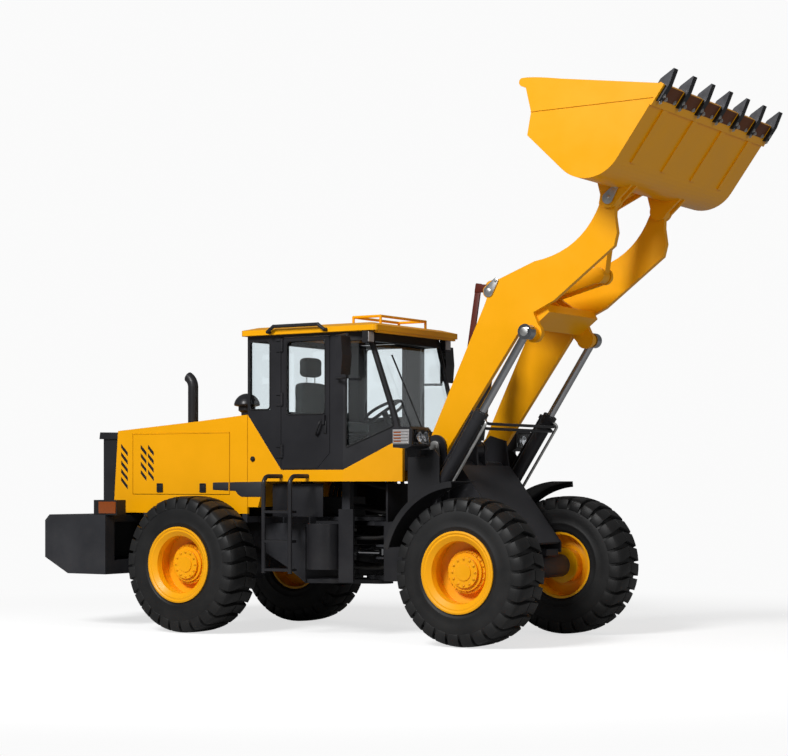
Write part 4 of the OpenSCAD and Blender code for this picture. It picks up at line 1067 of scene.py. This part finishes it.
def dressBucket():
    bucket = bucketSettings
    floor, half, inset = bucket["floor"], bucket["half"], bucket["adapterHalf"]
    pitch = 2 * half / (bucket["teeth"] - 1)
    down = bucketPoint(0, -1, 0) - bucketPin
    centres = [-half + pitch * i for i in range(bucket["teeth"])]
    plates = [edgePlate(y + inset, y + pitch - inset) for y in centres[:-1]]
    finishPiece(joinPieces(plates), "edge_plates", "brownSteel", "bucket")
    beside = [y + bucket["beside"] for y in centres[:-1]] + [y - bucket["beside"] for y in centres[1:]]
    places = [bucketPoint(bucket["boltAlong"], floor - bucket["boltDown"], y) for y in beside]
    bolts = boltsAt(places, down, bucket["boltSize"])
    finishPiece(bolts, "edge_bolts", "zincSteel", "bucket")
    places = [bucketPoint(along, floor - bucket["adapterDown"], y)
              for y in centres for along in bucket["adapterAlong"]]
    bolts = boltsAt(places, down, bucket["adapterSize"])
    finishPiece(bolts, "adapter_bolts", "zincSteel", "bucket")
    print("bucket edge and bolts")


pipeSettings = {"radius": 0.014, "offset": 0.105, "side": 0.03, "start": (0.17, 0.060), "rise": 0.045,
                "run": (0.24, 0.55, 0.86, 0.925), "end": (0.925, 0.055), "gland": 0.965, "glandRing": 0.052,
                "glandBolts": 6, "boltSize": 0.008, "cross": (0.855, 0.905), "crossBend": 0.85,
                "crossEnd": -0.05}


def liftBase(side):
    along = jointAxes["lift_stroke_" + side]
    return jointPlaces["lift_swing_" + side], along, Vector((along.z, 0, -along.x))


def dressPipes():
    pipe = pipeSettings
    for side, sign in sideSigns.items():
        base, along, under = liftBase(side)
        aside = Vector((0, sign * pipe["side"], 0))
        outer = base + under * pipe["offset"] + aside
        start = base + along * pipe["start"][0] + under * pipe["start"][1] + aside
        route = [start, start + under * pipe["rise"]] + [outer + along * share for share in pipe["run"]]
        route.append(base + along * pipe["end"][0] + under * pipe["end"][1])
        body = "lift_barrel_" + side
        finishPiece(tube(route, pipe["radius"]), "lift_pipe_" + side, "zincSteel", body)
        ring = [Vector((0, math.cos(turn), 0)) + under * math.sin(turn)
                for turn in ringTurns(pipe["glandBolts"])]
        places = [base + along * pipe["gland"] + spoke * pipe["glandRing"] for spoke in ring]
        finishPiece(boltsAt(places, along, pipe["boltSize"]), "gland_bolts_" + side, "blackPaint", body)
    base, along, under = liftBase("left")
    reach = Vector((0, base.y, 0))
    inward = under * pipe["crossEnd"]
    bend = reach * pipe["crossBend"]
    pipes = []
    for share in pipe["cross"]:
        middle = base - reach + along * share + under * pipe["offset"]
        pipes.append(tube([middle - reach + inward, middle - reach, middle - bend, middle, middle + bend,
                           middle + reach, middle + reach + inward], pipe["radius"]))
    finishPiece(joinPieces(pipes), "lift_cross_pipes", "blackPaint", "lift_barrel_left")
    print("cylinder pipes")


rodSettings = {"eye": 1.519, "behind": 0.130, "across": -0.107, "thick": 0.018, "half": 0.030, "length": 0.95,
               "over": 0.03, "lugHalf": 0.035, "lugBack": 0.03, "lugAside": -0.005, "lugTop": (0.01, 0.09),
               "edge": 0.003}


def dressPositioner():
    rod = rodSettings
    along = jointAxes["tilt_stroke"]
    behind = Vector((-along.z, 0, along.x))
    eye = jointPlaces["tilt_swing"] + along * rod["eye"] + Vector((0, rod["across"], 0))
    top = eye + behind * rod["behind"] + along * rod["over"]
    low = top - along * rod["length"]
    wide = behind * rod["half"]
    depth = (0, -rod["thick"], 0)
    bar = platePiece([top - wide, top + wide, low + wide, low - wide], depth, rod["edge"])
    lug = Vector((0, rod["lugAside"], 0))
    foot = eye - behind * rod["lugBack"] + lug
    head = top + wide + lug
    arm = platePiece([foot - along * rod["lugHalf"], foot + along * rod["lugHalf"],
                      head - along * rod["lugTop"][0], head - along * rod["lugTop"][1]], depth, rod["edge"])
    finishPiece(joinPieces([bar, arm]), "positioner_rod", "redPrimer", "tilt_rod")
    print("positioner rod")


# Black sheets of painted shade: plates under the cab, and one behind the left ladder, set dark where the gaps
# only show shade

shadeSheetSettings = {"thick": 0.012, "edge": 0.003,
                  "high": {"x": (-0.845, -0.250), "y": 0.600, "z": (1.131, 1.450)},
                  "low": {"x": (-0.845, -0.380), "y": 0.842, "z": (0.500, 1.069)}}


def shadeSheet(level, sign):
    plate = shadeSheetSettings[level]
    across = sorted((sign * plate["y"], sign * (plate["y"] + shadeSheetSettings["thick"])))
    return roundBox(*boxEnds(plate["x"], across, plate["z"]), shadeSheetSettings["edge"])


def dressShadeSheets():
    for side, sign in sideSigns.items():
        # painted shade: black plates put in the see-through gaps under the cab and behind the ladder so they
        # read as dark shade
        finishPiece(shadeSheet("high", sign), "floor_shade_sheet_" + side, "blackPaint", "rear_frame")
    finishPiece(shadeSheet("low", sideSigns["left"]), "ladder_shade_sheet", "blackPaint", "rear_frame")
    print("painted shade sheets")


# Hydraulic hoses

hoseSettings = {"radius": 0.019, "pitch": 0.075, "fitting": 0.025, "fittingLength": 0.045,
                "valve": (-0.213, 1.225), "bulkheadX": (0.352, 0.374), "bulkheadY": (-0.436, 0.436),
                "bulkheadZ": (1.079, 1.450), "portZ": (1.165, 1.395), "portSunk": 0.004,
                "plateX": (-0.622, 0.352), "archSpread": 0.2,
                "lower": ((-0.22, 0.965), (-0.13, 0.965), (0.13, 0.965), (0.22, 0.965),
                          (-0.18, 0.680), (0.18, 0.680)),
                "tiltY": (-0.20, -0.13, 0.13, 0.20), "tiltPort": (0.43, 0.075)}


def bentHoses(routes, name, bodies):
    hoses = joinPieces([tube(route, hoseSettings["radius"], sides=3) for route in routes])
    finishPiece(hoses, name, "hoseRubber", bodies[0])
    choose(hoses)
    bpy.ops.object.parent_clear(type="CLEAR_KEEP_TRANSFORM")
    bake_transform(hoses)


def hoseBulkhead(rows):
    hose = hoseSettings
    root = hose["bulkheadX"][0] + hose["portSunk"]
    tip = root - hose["fittingLength"]
    pieces = [roundBox(*boxEnds(hose["bulkheadX"], hose["bulkheadY"], hose["bulkheadZ"]), 0.004)]
    for y in rows:
        for z in hose["portZ"]:
            pieces.append(roundBar((root, y, z), (tip, y, z), hose["fitting"], 0.003, 6))
    return joinPieces(pieces)


def dressHoses():
    hose = hoseSettings
    rows = [hose["pitch"] * i for i in range(-2, 3)]
    finishPiece(hoseBulkhead(rows), "hose_bulkhead", "blackPaint", "front_frame")
    across = ("rear_frame", "front_frame")
    face = hose["bulkheadX"][0]
    (valveX, valveZ), (lowPort, highPort) = hose["valve"], hose["portZ"]
    straight = [[(valveX, y, valveZ), (-0.11, y, 1.222), (0.02, y, 1.186), (0.16, y, 1.168),
                 (0.25, y, lowPort), (face, y, lowPort)] for y in rows]
    bentHoses(straight, "valve_hoses", across)
    arched = []
    for y in rows:
        rise = abs(y) * hose["archSpread"]
        arched.append([(-0.48, y, 1.315), (-0.48, y, 1.38), (-0.43, y, 1.45 + rise), (-0.25, y, 1.47 + rise),
                       (0.00, y, 1.44), (0.20, y, highPort), (face, y, highPort)])
    bentHoses(arched, "arched_hoses", across)
    back, front = hose["plateX"]
    lower = [[(back, y, z), (-0.48, y, z), (-0.15, y, z - 0.040), (0.08, y, z - 0.045), (0.25, y, z - 0.020),
              (front, y, z - 0.015)] for y, z in hose["lower"]]
    bentHoses(lower, "lower_hoses", across)
    along = jointAxes["tilt_stroke"]
    behind = Vector((-along.z, 0, along.x))
    port = jointPlaces["tilt_swing"] + along * hose["tiltPort"][0] + behind * hose["tiltPort"][1]
    loops = [[(1.02, y, 1.60), (0.92, y, 1.61), (0.84, y, 1.74), (0.83, y * 0.9, 1.98), (0.88, y * 0.6, 2.17),
              (0.97, y * 0.4, 2.23), port + Vector((0, y * 0.2, 0))] for y in hose["tiltY"]]
    bentHoses(loops, "tilt_hoses", ("front_frame", "tilt_barrel"))
    print("hoses")


dressWheels()
dressWindows()
dressWiper()
dressHood()
dressLamps()
dressSeat()
dressPins()
dressBucket()
dressPipes()
dressPositioner()
dressShadeSheets()
dressHoses()
